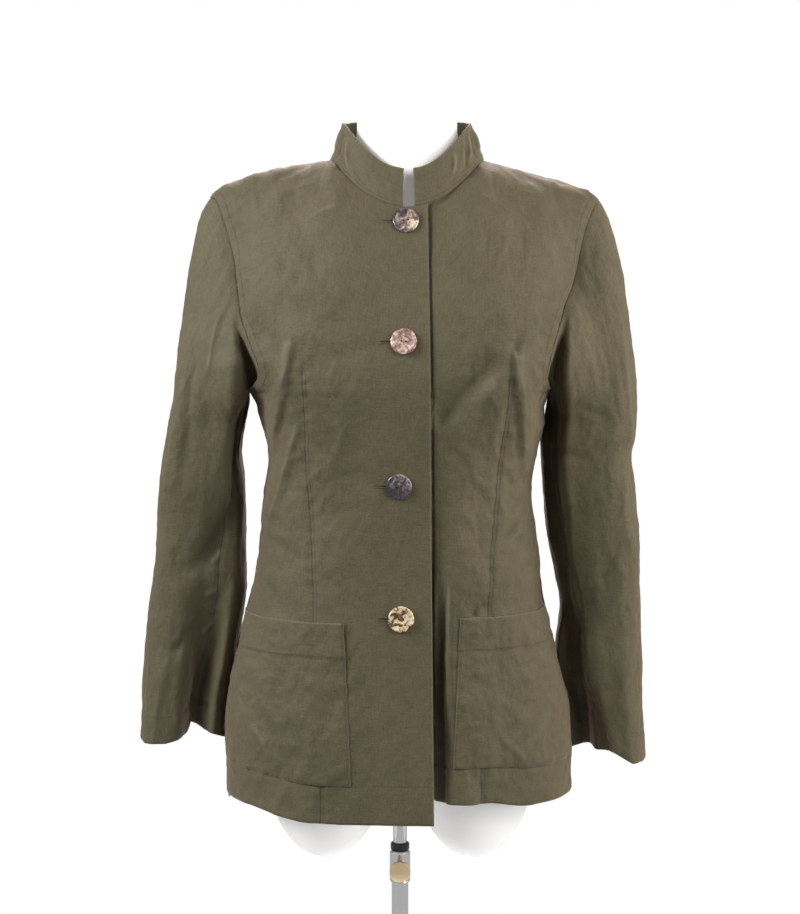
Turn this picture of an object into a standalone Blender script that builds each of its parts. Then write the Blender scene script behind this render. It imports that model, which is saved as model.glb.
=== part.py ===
"""Stand-collar jacket buttoned on a limbless dress form with a short clamp stand.

Metres, +Z up. The front faces -Y, the wearer's left is +X, the origin is under the base plate.
"""

import math

import bmesh
import bpy
import numpy as np
from mathutils import Matrix, Vector

OBJECT_NAME = "stand_collar_jacket"

# Cloth walls and seams
CLOTH = 0.0012
COLLAR_CLOTH = 0.0020
SEAM_GAP = 0.0003
LAY_GAP = 0.0009
QUARTER_LENGTH = 0.25

# Key heights
HEM_Z = 0.300
ARMPIT_Z = 0.712
NECK_POINT_Z = 0.9395

# Neck and shoulder line
NECK_X = 0.007
NECK_HALF = 0.0755
NECK_FRONT = 0.078
NECK_BACK = 0.064
NECK_DROP = 0.0465
NECK_SHARE = 0.42
CORNER_STEPS = (-0.12, -0.08, -0.04, 0.0, 0.04, 0.08, 0.12)
SHOULDER_Y = 0.004
TIP_Y = 0.010
TIP_RIGHT = 0.182
TIP_LEFT = 0.191
TIP_Z = 0.911
SHOULDER_RISE = 0.005

# Armhole of the back, as a share of the way from centre line to side
ARMHOLE_BACK = 0.15
ARMHOLE_LOW = 0.60
ARMHOLE_HIGH = 1.25

# Front lap and hem
LAP_TOP = 0.0265
LAP_HEM = 0.0325
UNDER_LAP = -0.020
LEFT_LIFT = 0.009
LIFT_TOP_Z = 0.62
HEM_WAVE = 0.009
WAVE_TOP_Z = 0.40
WAVE_START = 0.084
WAVE_END = 0.125
SWING_START = 0.052
SWING_END = 0.026

# Pockets
POCKET_TOP_Z = 0.494
POCKET_BOTTOM_Z = 0.337
POCKET_INNER_TOP = 0.0555
POCKET_INNER_BOTTOM = 0.0490
POCKET_SIDE_SHARE = 0.985

# Collar
COLLAR_HEIGHT = 0.0385
COLLAR_LEAN = math.radians(18.0)
COLLAR_END_RIGHT = -3.0
COLLAR_END_LEFT = 5.0

# Buttons
BUTTON_RADIUS = 0.0125
BUTTON_THICK = 0.0030
BUTTON_EDGE = 0.0008
BUTTON_LIFT = 0.0005
HOLE_RADIUS = 0.0010
HOLE_SPREAD = 0.0021

# Stand
ROD_RADIUS = 0.0070
ROD_LOW = 0.050
ROD_TOP = 0.400
TUBE_RADIUS = 0.0085
TUBE_BORE = 0.0076
TUBE_TOP = 0.2450
RING_RADIUS = 0.0095
RING_TOP = 0.2530
CLAMP_RADIUS = 0.0104
CLAMP_LOW = 0.2130
CLAMP_TOP = 0.2440
SCREW_Z = 0.2290
SCREW_RADIUS = 0.0030
BOSS_RADIUS = 0.0060
BOSS_END = 0.0200
KNOB_RADIUS = 0.0105
KNOB_THICK = 0.0080
KNOB_EDGE = 0.0012
KNOB_GAP = 0.0006
BASE_RADIUS = 0.155
BASE_THICK = 0.010
BASE_EDGE = 0.002
HUB_RADIUS = 0.020
HUB_HEIGHT = 0.014
METAL_EDGE = 0.001
FIT = 0.0003
CUT_LENGTH = 0.5

# Form
FORM_DROP = 0.0019
FORM_TIP_INSET = 0.014
NECK_TOP_Z = 1.006
FORM_NECK_HALF = 0.055
FORM_NECK_FRONT = 0.056
FORM_NECK_BACK = 0.044
NECK_TOP_HALF = 0.0495
NECK_TOP_DEPTH = 0.049
NECK_TOP_Y = -0.007
STUMP_X = 0.074
STUMP_Y = -0.016
STUMP_Z = 0.355
STUMP_SIZE = (0.064, 0.074, 0.112)

# Mesh steps
FRONT_COLUMNS = 15
BACK_COLUMNS = 22
LOW_ROWS = 14
HIGH_ROWS = 11
SLEEVE_AROUND = 24
CAP_ROWS = 5
ARM_ROWS = 11


def table(columns, rows):
    """Named columns of a table of sizes, lowest row first."""
    values = np.array(sorted(rows), float)
    return dict(zip(columns.split(), values.T))


JACKET = table(
    "z right left front back power",
    (
        (0.300, 0.174, 0.172, 0.125, 0.118, 2.20),
        (0.340, 0.174, 0.171, 0.123, 0.117, 2.20),
        (0.380, 0.174, 0.168, 0.121, 0.115, 2.20),
        (0.420, 0.170, 0.162, 0.119, 0.112, 2.20),
        (0.470, 0.160, 0.151, 0.116, 0.106, 2.25),
        (0.516, 0.148, 0.141, 0.114, 0.098, 2.30),
        (0.562, 0.139, 0.137, 0.113, 0.092, 2.30),
        (0.610, 0.134, 0.131, 0.114, 0.088, 2.35),
        (0.652, 0.133, 0.136, 0.118, 0.092, 2.45),
        (0.682, 0.144, 0.143, 0.122, 0.099, 2.55),
        (0.712, 0.156, 0.154, 0.125, 0.105, 2.70),
    ),
)

FORM = table(
    "z right left front back power",
    (
        (0.330, 0.125, 0.125, 0.074, 0.078, 2.20),
        (0.400, 0.147, 0.147, 0.076, 0.096, 2.20),
        (0.470, 0.136, 0.136, 0.078, 0.090, 2.20),
        (0.550, 0.118, 0.118, 0.082, 0.078, 2.20),
        (0.615, 0.112, 0.112, 0.086, 0.073, 2.20),
        (0.660, 0.117, 0.117, 0.098, 0.080, 2.25),
        (0.712, 0.140, 0.140, 0.110, 0.092, 2.40),
    ),
)

SLEEVE_COLUMNS = "z out depth half_out half_depth fold_at fold_in"
SLEEVE_RIGHT = table(
    SLEEVE_COLUMNS,
    (
        (0.682, 0.1920, 0.012, 0.0375, 0.060, 130, 0.000),
        (0.652, 0.1980, 0.014, 0.0370, 0.058, 130, 0.000),
        (0.622, 0.1990, 0.016, 0.0410, 0.057, 130, 0.001),
        (0.592, 0.2000, 0.019, 0.0430, 0.056, 128, 0.003),
        (0.562, 0.2020, 0.022, 0.0450, 0.055, 124, 0.006),
        (0.531, 0.2030, 0.025, 0.0460, 0.055, 118, 0.009),
        (0.501, 0.2055, 0.028, 0.0475, 0.055, 112, 0.013),
        (0.440, 0.2130, 0.032, 0.0450, 0.055, 104, 0.022),
        (0.395, 0.2185, 0.035, 0.0430, 0.055, 98, 0.030),
        (0.361, 0.2200, 0.036, 0.0435, 0.055, 93, 0.036),
    ),
)
SLEEVE_LEFT = table(
    SLEEVE_COLUMNS,
    (
        (0.682, 0.1900, 0.010, 0.0450, 0.060, 125, 0.000),
        (0.667, 0.1885, 0.010, 0.0460, 0.060, 125, 0.000),
        (0.652, 0.1870, 0.011, 0.0440, 0.059, 125, 0.000),
        (0.622, 0.1890, 0.013, 0.0450, 0.058, 125, 0.001),
        (0.592, 0.1915, 0.016, 0.0450, 0.058, 125, 0.003),
        (0.562, 0.1950, 0.019, 0.0447, 0.058, 122, 0.006),
        (0.531, 0.1990, 0.022, 0.0420, 0.058, 118, 0.010),
        (0.501, 0.2026, 0.025, 0.0403, 0.057, 112, 0.015),
        (0.440, 0.2015, 0.030, 0.0430, 0.057, 104, 0.026),
        (0.395, 0.2060, 0.033, 0.0400, 0.057, 98, 0.034),
        (0.338, 0.2090, 0.035, 0.0405, 0.057, 90, 0.040),
    ),
)
FOLD_SPREAD = 24.0

# How far the under front swings back beside the lap
SWING = table(
    "z depth",
    (
        (0.300, 0.036),
        (0.360, 0.033),
        (0.420, 0.026),
        (0.470, 0.017),
        (0.510, 0.010),
        (0.560, 0.006),
        (0.620, 0.003),
        (0.712, 0.002),
    ),
)

# How far the armholes cut into the fronts; z is the share of the way from armpit to shoulder
ARMHOLE_FRONT = table(
    "z right left",
    (
        (0.00, 0.000, 0.000),
        (0.03, 0.095, 0.095),
        (0.10, 0.175, 0.175),
        (0.20, 0.235, 0.240),
        (0.29, 0.245, 0.245),
        (0.40, 0.205, 0.175),
        (0.48, 0.180, 0.105),
        (0.56, 0.150, 0.055),
        (0.70, 0.075, 0.012),
        (0.85, 0.040, 0.003),
        (1.00, 0.000, 0.000),
    ),
)

BUTTONS = (
    # name, x, z, tilt sideways in degrees
    ("button_1", 0.0055, 0.8790, 6.0),
    ("button_2", 0.0036, 0.7650, -3.0),
    ("button_3", -0.0010, 0.6270, 4.0),
    ("button_4", 0.0010, 0.4990, -5.0),
)


def hermite(start, start_slope, end, end_slope, t):
    """Cubic from start to end with the given slopes, at the share t."""
    t2, t3 = t * t, t * t * t
    return (
        (2 * t3 - 3 * t2 + 1) * start
        + (t3 - 2 * t2 + t) * start_slope
        + (3 * t2 - 2 * t3) * end
        + (t3 - t2) * end_slope
    )


def smooth(sizes, column, z):
    """Value of a table's column at height z, smooth between its rows."""
    knots, values = sizes["z"], sizes[column]
    slope = np.gradient(values, knots)
    i = int(np.clip(np.searchsorted(knots, z) - 1, 0, len(knots) - 2))
    span = knots[i + 1] - knots[i]
    t = float(np.clip((z - knots[i]) / span, 0.0, 1.0))
    return hermite(values[i], slope[i] * span, values[i + 1], slope[i + 1] * span, t)


def ease(low, high, value):
    """Smooth step from 0 at low to 1 at high."""
    t = np.clip((value - low) / (high - low), 0.0, 1.0)
    return t * t * (3.0 - 2.0 * t)


def quarter(half_width, depth, power, share):
    """A quarter of a rounded section at shares of its length, from the centre line to the side."""
    angle = np.linspace(0.0, math.pi / 2, 241)
    x = half_width * np.sin(angle) ** (2.0 / power)
    y = depth * np.cos(angle) ** (2.0 / power)
    run = np.concatenate([[0.0], np.cumsum(np.hypot(np.diff(x), np.diff(y)))])
    return np.interp(share * run[-1], run, x), np.interp(share * run[-1], run, y)


class Surface:
    """Smooth outer surface of a torso, for the jacket or for the form inside it."""

    def __init__(self, sizes, neck_half, neck_front, neck_back, drop, tip_inset, fullness):
        self.sizes = sizes
        self.neck_half = neck_half
        self.neck_front = neck_front
        self.neck_back = neck_back
        self.drop = drop
        self.tip_inset = tip_inset
        self.fullness = fullness

    def ring(self, z, u, back):
        """Points of the level section at z; u runs from -1 at the right side to 1 at the left."""
        right = quarter(smooth(self.sizes, "right", z), self.depth(z, back), self.power(z), np.abs(u))
        left = quarter(smooth(self.sizes, "left", z), self.depth(z, back), self.power(z), np.abs(u))
        x = np.where(u < 0, -right[0], left[0])
        y = np.where(u < 0, right[1], left[1])
        return np.stack([x, y if back else -y, np.full_like(x, z)], axis=-1)

    def depth(self, z, back):
        """Depth of the front or back half at height z."""
        return smooth(self.sizes, "back" if back else "front", z)

    def power(self, z):
        """How square the section is at height z."""
        return smooth(self.sizes, "power", z)

    def top_line(self, u, back):
        """Neckline out to the neck point, then the shoulder line out to the tip."""
        angle = np.clip(np.abs(u) / NECK_SHARE, 0.0, 1.0) * math.pi / 2
        along = np.clip((np.abs(u) - NECK_SHARE) / (1.0 - NECK_SHARE), 0.0, 1.0)
        tip = np.where(u < 0, TIP_RIGHT + NECK_X, TIP_LEFT - NECK_X) - self.tip_inset
        x = self.neck_half * np.sin(angle) + along * (tip - self.neck_half)
        depth = self.neck_back if back else -self.neck_front
        y = depth * np.cos(angle) + SHOULDER_Y * np.sin(angle) ** 2 + along * (TIP_Y - SHOULDER_Y)
        reach = np.clip((x - NECK_HALF) / (TIP_LEFT - NECK_X - NECK_HALF), -0.3, 1.0)
        slope = (TIP_Z - NECK_POINT_Z) * reach + SHOULDER_RISE * np.sin(math.pi * np.clip(reach, 0, 1))
        dip = 0.003 if back else -NECK_DROP
        z = NECK_POINT_Z + dip * np.cos(angle) ** 2 + slope * np.sin(angle) ** 4 - self.drop
        return np.stack([NECK_X + np.sign(u) * x, y, z], axis=-1)

    def upper(self, v, u, back):
        """Points above the armpit level: v is 0 there and 1 on the neckline and shoulder line."""
        low = self.ring(ARMPIT_Z, u, back)
        rise = (low - self.ring(ARMPIT_Z - 0.006, u, back)) / 0.006
        exact = self.top_line(u, back)
        soft = sum(self.top_line(np.clip(u + step, -1.0, 1.0), back) for step in CORNER_STEPS)
        near_corner = np.exp(-(((np.abs(u) - NECK_SHARE) / 0.18) ** 2))[..., None]
        top = exact + (soft / len(CORNER_STEPS) - exact) * near_corner * (1.0 - v**4)
        length = np.linalg.norm(top - low, axis=-1, keepdims=True)
        w = ease(0.0, 1.0, np.abs(u) / NECK_SHARE)[..., None]
        centre = np.array([0.0, 0.42, 0.90])
        over = np.array([0.0, 1.0, 0.0])
        way = centre * (1 - w) + over * w
        if back:
            way = way * np.array([1.0, -1.0, 1.0])
        return hermite(low, rise * length * 0.9, top, way * length * self.fullness, v)

    def row(self, level, u, back):
        """A row of points: a level of at most 0 is a distance below the armpit, above 0 it is v."""
        if level <= 0.0:
            return self.ring(ARMPIT_Z + level, u, back)
        return self.upper(level, u, back)


JACKET_SURFACE = Surface(JACKET, NECK_HALF, NECK_FRONT, NECK_BACK, 0.0, 0.0, 0.85)
FORM_SURFACE = Surface(
    FORM, FORM_NECK_HALF, FORM_NECK_FRONT, FORM_NECK_BACK, FORM_DROP, FORM_TIP_INSET, 0.66
)


def armhole_share(level, back, side):
    """Share of the way to the side where the armhole cuts a row."""
    if level <= 0.0:
        return 1.0
    if not back:
        return 1.0 - smooth(ARMHOLE_FRONT, "right" if side < 0 else "left", level)
    peak = ARMHOLE_LOW / (ARMHOLE_LOW + ARMHOLE_HIGH)
    top = peak**ARMHOLE_LOW * (1 - peak) ** ARMHOLE_HIGH
    cut = level**ARMHOLE_LOW * max(1.0 - level, 0.0) ** ARMHOLE_HIGH / top
    return 1.0 - ARMHOLE_BACK * cut


def share_at_x(level, x):
    """Share u on the front surface where a row has the given x."""
    u = np.linspace(-0.9, 0.9, 361)
    return float(np.interp(x, JACKET_SURFACE.row(level, u, False)[:, 0], u))


def grid_normals(points):
    """Unit normals of a grid of points."""
    across = np.gradient(points, axis=1)
    along = np.gradient(points, axis=0)
    normal = np.cross(across, along)
    return normal / np.linalg.norm(normal, axis=-1, keepdims=True)


def levels(low_z):
    """Row levels from a hem height up to the shoulder seam."""
    low = np.linspace(low_z - ARMPIT_Z, 0.0, LOW_ROWS)
    high = 1.0 - (1.0 - np.linspace(0.0, 1.0, HIGH_ROWS + 1)[1:]) ** 1.5
    high[-1] = 1.0 - SEAM_GAP * 4.0
    return np.concatenate([low, high])


def lap_x(level):
    """x of the over front's edge at a row."""
    at_armpit = LAP_TOP + (LAP_HEM - LAP_TOP) * 0.4
    if level > 0:
        return at_armpit + (LAP_TOP - at_armpit) * level
    share = 1.0 + level / (ARMPIT_Z - HEM_Z)
    return LAP_HEM + (at_armpit - LAP_HEM) * share


def seam_share():
    """Half a seam gap at the side, as a share of a quarter section."""
    return SEAM_GAP / QUARTER_LENGTH


def front_right_grid(columns=FRONT_COLUMNS):
    """The over front, from its side seam and armhole to the lap edge."""
    rows = []
    for level in levels(HEM_Z):
        start = -armhole_share(level, False, -1) + seam_share()
        u = np.linspace(start, share_at_x(level, lap_x(level)), columns)
        rows.append(JACKET_SURFACE.row(level, u, False))
    return np.array(rows)


def front_left_place(points):
    """The under front: behind the over front's lap, swung back beside it, its hem a little higher."""
    moved = points.copy()
    x, z = points[..., 0], points[..., 2]
    depth = np.vectorize(lambda h: smooth(SWING, "depth", h))(np.clip(z, HEM_Z, ARMPIT_Z))
    beside = 1.0 - ease(SWING_END, SWING_START, x)
    behind = CLOTH + LAY_GAP
    lapped = 1.0 - ease(LAP_TOP + 0.004, LAP_TOP + 0.030, x)
    moved[..., 1] += depth * beside * (1.0 - ease(0.62, 0.74, z)) + behind * lapped
    moved[..., 2] -= behind * 0.35 * lapped * ease(0.80, 0.88, z)
    lift = LEFT_LIFT * (1.0 - ease(HEM_Z, LIFT_TOP_Z, z))
    wave = HEM_WAVE * (1.0 - ease(WAVE_START, WAVE_END, x)) * (1.0 - ease(HEM_Z, WAVE_TOP_Z, z))
    moved[..., 2] += lift + wave
    return moved


def front_left_grid(columns=FRONT_COLUMNS):
    """The under front, from behind the lap to its side seam and armhole."""
    rows = []
    for level in levels(HEM_Z):
        end = armhole_share(level, False, 1) - seam_share()
        turn = share_at_x(level, SWING_START + 0.004)
        near = np.linspace(share_at_x(level, UNDER_LAP), turn, columns // 2)
        u = np.concatenate([near, np.linspace(turn, end, columns - columns // 2 + 1)[1:]])
        rows.append(JACKET_SURFACE.row(level, u, False))
    return front_left_place(np.array(rows))


def back_grid(columns=BACK_COLUMNS):
    """The back, from the left side seam to the right one."""
    rows = []
    for level in levels(HEM_Z):
        end = armhole_share(level, True, 1) - seam_share()
        rows.append(JACKET_SURFACE.row(level, np.linspace(end, -end, columns), True))
    points = np.array(rows)
    lift = LEFT_LIFT * (1.0 - ease(HEM_Z, LIFT_TOP_Z, points[..., 2]))
    points[..., 2] += lift * ease(-0.05, 0.17, points[..., 0])
    return points


def pocket_grid(side, columns=13, count=9):
    """A patch on a front: its points moved out from the panel by the lay gap and its own cloth."""
    rows = []
    for z in np.linspace(POCKET_BOTTOM_Z, POCKET_TOP_Z, count):
        t = (z - POCKET_BOTTOM_Z) / (POCKET_TOP_Z - POCKET_BOTTOM_Z)
        inner = POCKET_INNER_BOTTOM + (POCKET_INNER_TOP - POCKET_INNER_BOTTOM) * t
        level = z - ARMPIT_Z
        inner_share = share_at_x(level, side * inner + 0.002)
        u = np.linspace(-POCKET_SIDE_SHARE, inner_share, columns)
        if side > 0:
            u = np.linspace(inner_share, POCKET_SIDE_SHARE, columns)
        rows.append(JACKET_SURFACE.row(level, u, False))
    points = np.array(rows)
    if side > 0:
        points = front_left_place(points)
    return points + grid_normals(points) * (CLOTH + LAY_GAP)


def neckline(angle):
    """Point of the neckline at an angle from the front, with a stand-up lean direction."""
    u = NECK_SHARE * min(abs(angle), 180.0 - abs(angle)) / 90.0
    signed = np.array([math.copysign(max(u, 1e-9), angle)])
    base = JACKET_SURFACE.top_line(signed, abs(angle) > 90)[0]
    inward = np.array([NECK_X - base[0], -base[1], 0.0])
    inward /= np.linalg.norm(inward)
    return base, inward * math.sin(COLLAR_LEAN) + np.array([0.0, 0.0, math.cos(COLLAR_LEAN)])


def collar_grid(columns=34, count=4):
    """Band from the left end round the back to the right end, standing just above the neckline."""
    turns = np.linspace(COLLAR_END_LEFT, 360.0 + COLLAR_END_RIGHT, columns)
    rows = []
    for height in np.linspace(SEAM_GAP + 0.0009, COLLAR_HEIGHT, count):
        points = []
        for turn in turns:
            base, up = neckline(turn if turn <= 180.0 else turn - 360.0)
            points.append(base + up * height)
        rows.append(points)
    return np.array(rows)


def armhole_edge(side, back, count):
    """Armhole edge of a front or back from the shoulder tip to the armpit, in equal steps."""
    dense = []
    for level in np.concatenate([np.linspace(1.0, 0.06, 60), np.geomspace(0.06, 1e-5, 60)]):
        share = side * armhole_share(level, back, side)
        dense.append(JACKET_SURFACE.row(level, np.array([share]), back)[0])
    dense = np.array(dense)
    run = np.concatenate([[0.0], np.cumsum(np.linalg.norm(np.diff(dense, axis=0), axis=1))])
    at = np.linspace(0.0, run[-1], count)
    return np.stack([np.interp(at, run, dense[:, i]) for i in range(3)], axis=-1)


def sleeve_section(sizes, side, z, turn):
    """Section of a hanging sleeve at height z; turn is 0 outside, 90 in front, 180 inside."""
    phi = np.radians(turn)
    off = (turn - smooth(sizes, "fold_at", z) + 180.0) % 360.0 - 180.0
    fold = smooth(sizes, "fold_in", z) * np.exp(-((off / FOLD_SPREAD) ** 2))
    half_out = smooth(sizes, "half_out", z)
    half_depth = smooth(sizes, "half_depth", z) - fold
    x = smooth(sizes, "out", z) + (half_out - 0.35 * fold) * np.cos(phi)
    y = smooth(sizes, "depth", z) - half_depth * np.sin(phi)
    return np.stack([side * x, y, np.full_like(y, z)], axis=-1)


def sleeve_grid(side, sizes, around=SLEEVE_AROUND):
    """A sleeve from its armhole seam to the cuff: the cap first, then the hanging arm."""
    half = around // 2
    front = armhole_edge(side, False, half + 1)
    back = armhole_edge(side, True, half + 1)
    edge = np.concatenate([front, back[::-1][1:]])
    turn = np.linspace(0.0, 360.0, around + 1)
    phi = np.radians(turn)
    top = sizes["z"][-1]
    below = sleeve_section(sizes, side, top, turn)
    leave = np.stack(
        [
            side * (0.50 * np.cos(phi / 2) ** 2 + 0.40 * np.sin(phi) ** 2),
            -0.20 * np.sin(phi),
            -(0.75 + 0.25 * np.sin(phi / 2) ** 2 - 0.25 * np.sin(phi) ** 2),
        ],
        axis=-1,
    )
    leave /= np.linalg.norm(leave, axis=-1, keepdims=True)
    edge = edge + leave * (SEAM_GAP + 0.0010)
    length = np.linalg.norm(below - edge, axis=-1, keepdims=True)
    slope = (sleeve_section(sizes, side, top - 0.01, turn) - below) / 0.01
    slope /= np.linalg.norm(slope, axis=-1, keepdims=True)
    rows = [
        hermite(edge, leave * length * 0.9, below, slope * length * 0.9, t)
        for t in np.linspace(0.0, 1.0, CAP_ROWS + 1)
    ]
    for z in np.linspace(top, sizes["z"][0], ARM_ROWS + 1)[1:]:
        rows.append(sleeve_section(sizes, side, z, turn))
    return np.array(rows)


def clear_scene():
    """Remove every object of the open file."""
    for item in list(bpy.data.objects):
        bpy.data.objects.remove(item)


def material(name, colour, metallic=0.0, roughness=0.5):
    """A plain material."""
    made = bpy.data.materials.new(name)
    made.use_nodes = True
    shader = made.node_tree.nodes["Principled BSDF"]
    shader.inputs["Base Color"].default_value = (*colour, 1.0)
    shader.inputs["Metallic"].default_value = metallic
    shader.inputs["Roughness"].default_value = roughness
    return made


def add_object(name, bm, finish, collection):
    """Turn a bmesh into a named object with its finish."""
    mesh = bpy.data.meshes.new(name)
    bm.to_mesh(mesh)
    bm.free()
    item = bpy.data.objects.new(name, mesh)
    item.data.materials.append(finish)
    collection.objects.link(item)
    return item


def cloth(name, points, thickness, finish, collection, tube=False):
    """A grid laid on the points and thickened inwards."""
    rows, columns = points.shape[:2]
    bm = bmesh.new()
    bmesh.ops.create_grid(bm, x_segments=columns - 1, y_segments=rows - 1, size=1.0)
    for vert, point in zip(bm.verts, points.reshape(-1, 3)):
        vert.co = Vector(point)
    if tube:
        bmesh.ops.remove_doubles(bm, verts=bm.verts, dist=0.00001)
    item = add_object(name, bm, finish, collection)
    wall = item.modifiers.new("wall", "SOLIDIFY")
    wall.thickness = thickness
    wall.offset = -1.0
    return item


def cylinder(bm, radius, low, high, segments, matrix=None):
    """Add a round bar between two heights to a bmesh."""
    place = (matrix or Matrix()) @ Matrix.Translation((0.0, 0.0, (low + high) / 2))
    return bmesh.ops.create_cone(
        bm,
        cap_ends=True,
        segments=segments,
        radius1=radius,
        radius2=radius,
        depth=high - low,
        matrix=place,
    )


def round_bar(name, radius, low, high, segments, finish, collection, matrix=None, bevel=0.0):
    """A round bar as an object, with its edges eased where a bevel is given."""
    bm = bmesh.new()
    cylinder(bm, radius, low, high, segments, matrix)
    item = add_object(name, bm, finish, collection)
    if bevel:
        edge = item.modifiers.new("edge", "BEVEL")
        edge.width = bevel
        edge.segments = 2
        edge.limit_method = "ANGLE"
    return item


def combine(item, tool, operation):
    """Cut a tool out of an object, or join it on."""
    cut = item.modifiers.new(operation.lower(), "BOOLEAN")
    cut.operation = operation
    cut.solver = "EXACT"
    cut.object = tool
    tool.hide_render = True
    tool.display_type = "WIRE"


def build_buttons(finishes, collection, cutters):
    """The four buttons, each square to the front where it is sewn, with two holes."""
    front = JACKET_SURFACE
    for number, (name, x, z, tilt) in enumerate(BUTTONS):
        level = z - ARMPIT_Z if z <= ARMPIT_Z else level_at_height(x, z)
        u = share_at_x(level, x)
        beside = np.array([u - 0.01, u, u + 0.01])
        near = np.array([front.row(level + d, beside, False) for d in (-0.01, 0.0, 0.01)])
        normal = Vector(grid_normals(near)[1, 1])
        turn = Matrix.Rotation(math.radians(tilt * 0.3), 4, "Z")
        frame = normal.to_track_quat("Z", "Y").to_matrix().to_4x4()
        place = Matrix.Translation(Vector(near[1, 1]) + normal * BUTTON_LIFT) @ frame @ turn
        button = round_bar(
            name, BUTTON_RADIUS, 0.0, BUTTON_THICK, 28, finishes[number], collection, place, BUTTON_EDGE
        )
        for hole in (-1, 1):
            aside = place @ Matrix.Translation((hole * HOLE_SPREAD, 0.0, 0.0))
            tool = round_bar(
                f"{name}_hole_{hole + 2}", HOLE_RADIUS, -0.01, 0.02, 10, finishes[number], cutters, aside
            )
            combine(button, tool, "DIFFERENCE")


def level_at_height(x, z):
    """Level v above the armpit where the front has the given x and height."""
    v = np.linspace(0.001, 0.999, 200)
    heights = [JACKET_SURFACE.row(t, np.array([x / 0.18]), False)[0, 2] for t in v]
    return float(np.interp(z, heights, v))


def form_rings():
    """Closed rings of the form from its lowest section to the neckline and shoulder ridge."""
    inner = np.linspace(-NECK_SHARE, NECK_SHARE, 13)
    outer = np.linspace(NECK_SHARE, 1.0, 6)[1:]
    u = np.concatenate([-outer[::-1], inner, outer])
    rings = []
    low = np.linspace(FORM["z"][0] - ARMPIT_Z, 0.0, 12)
    for level in np.concatenate([low, np.linspace(0.0, 1.0, 10)[1:]]):
        front = FORM_SURFACE.row(level, u, False)
        back = FORM_SURFACE.row(level, u[::-1], True)
        rings.append(np.concatenate([front, back]))
    return rings, len(u), 5


def build_form(finish, collection, cutters):
    """The form: torso rings, a neck, two rounded stumps and a socket for the rod."""
    rings, count, outside = form_rings()
    bm = bmesh.new()
    made = [[bm.verts.new(point) for point in ring] for ring in rings]
    total = count * 2
    for low, high in zip(made, made[1:]):
        for i in range(total):
            j = (i + 1) % total
            bm.faces.new((low[i], low[j], high[j], high[i]))
    bm.faces.new(list(reversed(made[0])))
    loop = made[-1][outside : count - outside] + made[-1][count + outside : total - outside]
    base = [vert.co.copy() for vert in loop]
    for share in np.linspace(0.0, 1.0, 7)[1:]:
        ring = []
        for point in base:
            angle = math.atan2(point.x - NECK_X, -(point.y - NECK_TOP_Y))
            goal = Vector(
                (
                    NECK_X + NECK_TOP_HALF * math.sin(angle),
                    NECK_TOP_Y - NECK_TOP_DEPTH * math.cos(angle),
                    NECK_TOP_Z,
                )
            )
            inward = ease(0.0, 0.45, share)
            at = Vector((0.0, 0.0, point.z + (goal.z - point.z) * share))
            at.x = point.x + (goal.x - point.x) * inward
            at.y = point.y + (goal.y - point.y) * inward
            ring.append(bm.verts.new(at))
        for i in range(len(loop)):
            j = (i + 1) % len(loop)
            bm.faces.new((loop[i], loop[j], ring[j], ring[i]))
        loop = ring
    bm.faces.new(loop)
    bmesh.ops.remove_doubles(bm, verts=bm.verts, dist=0.00005)
    bmesh.ops.recalc_face_normals(bm, faces=bm.faces)
    torso = add_object("form_torso", bm, finish, collection)
    for side in (-1, 1):
        bm = bmesh.new()
        place = Matrix.Translation((side * STUMP_X, STUMP_Y, STUMP_Z)) @ Matrix.Diagonal((*STUMP_SIZE, 1.0))
        bmesh.ops.create_uvsphere(bm, u_segments=20, v_segments=14, radius=1.0, matrix=place)
        combine(torso, add_object(f"stump_{side + 2}", bm, finish, cutters), "UNION")
    socket = round_bar("rod_socket", ROD_RADIUS + FIT, 0.2, ROD_TOP + FIT, 20, finish, cutters)
    combine(torso, socket, "DIFFERENCE")


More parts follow.
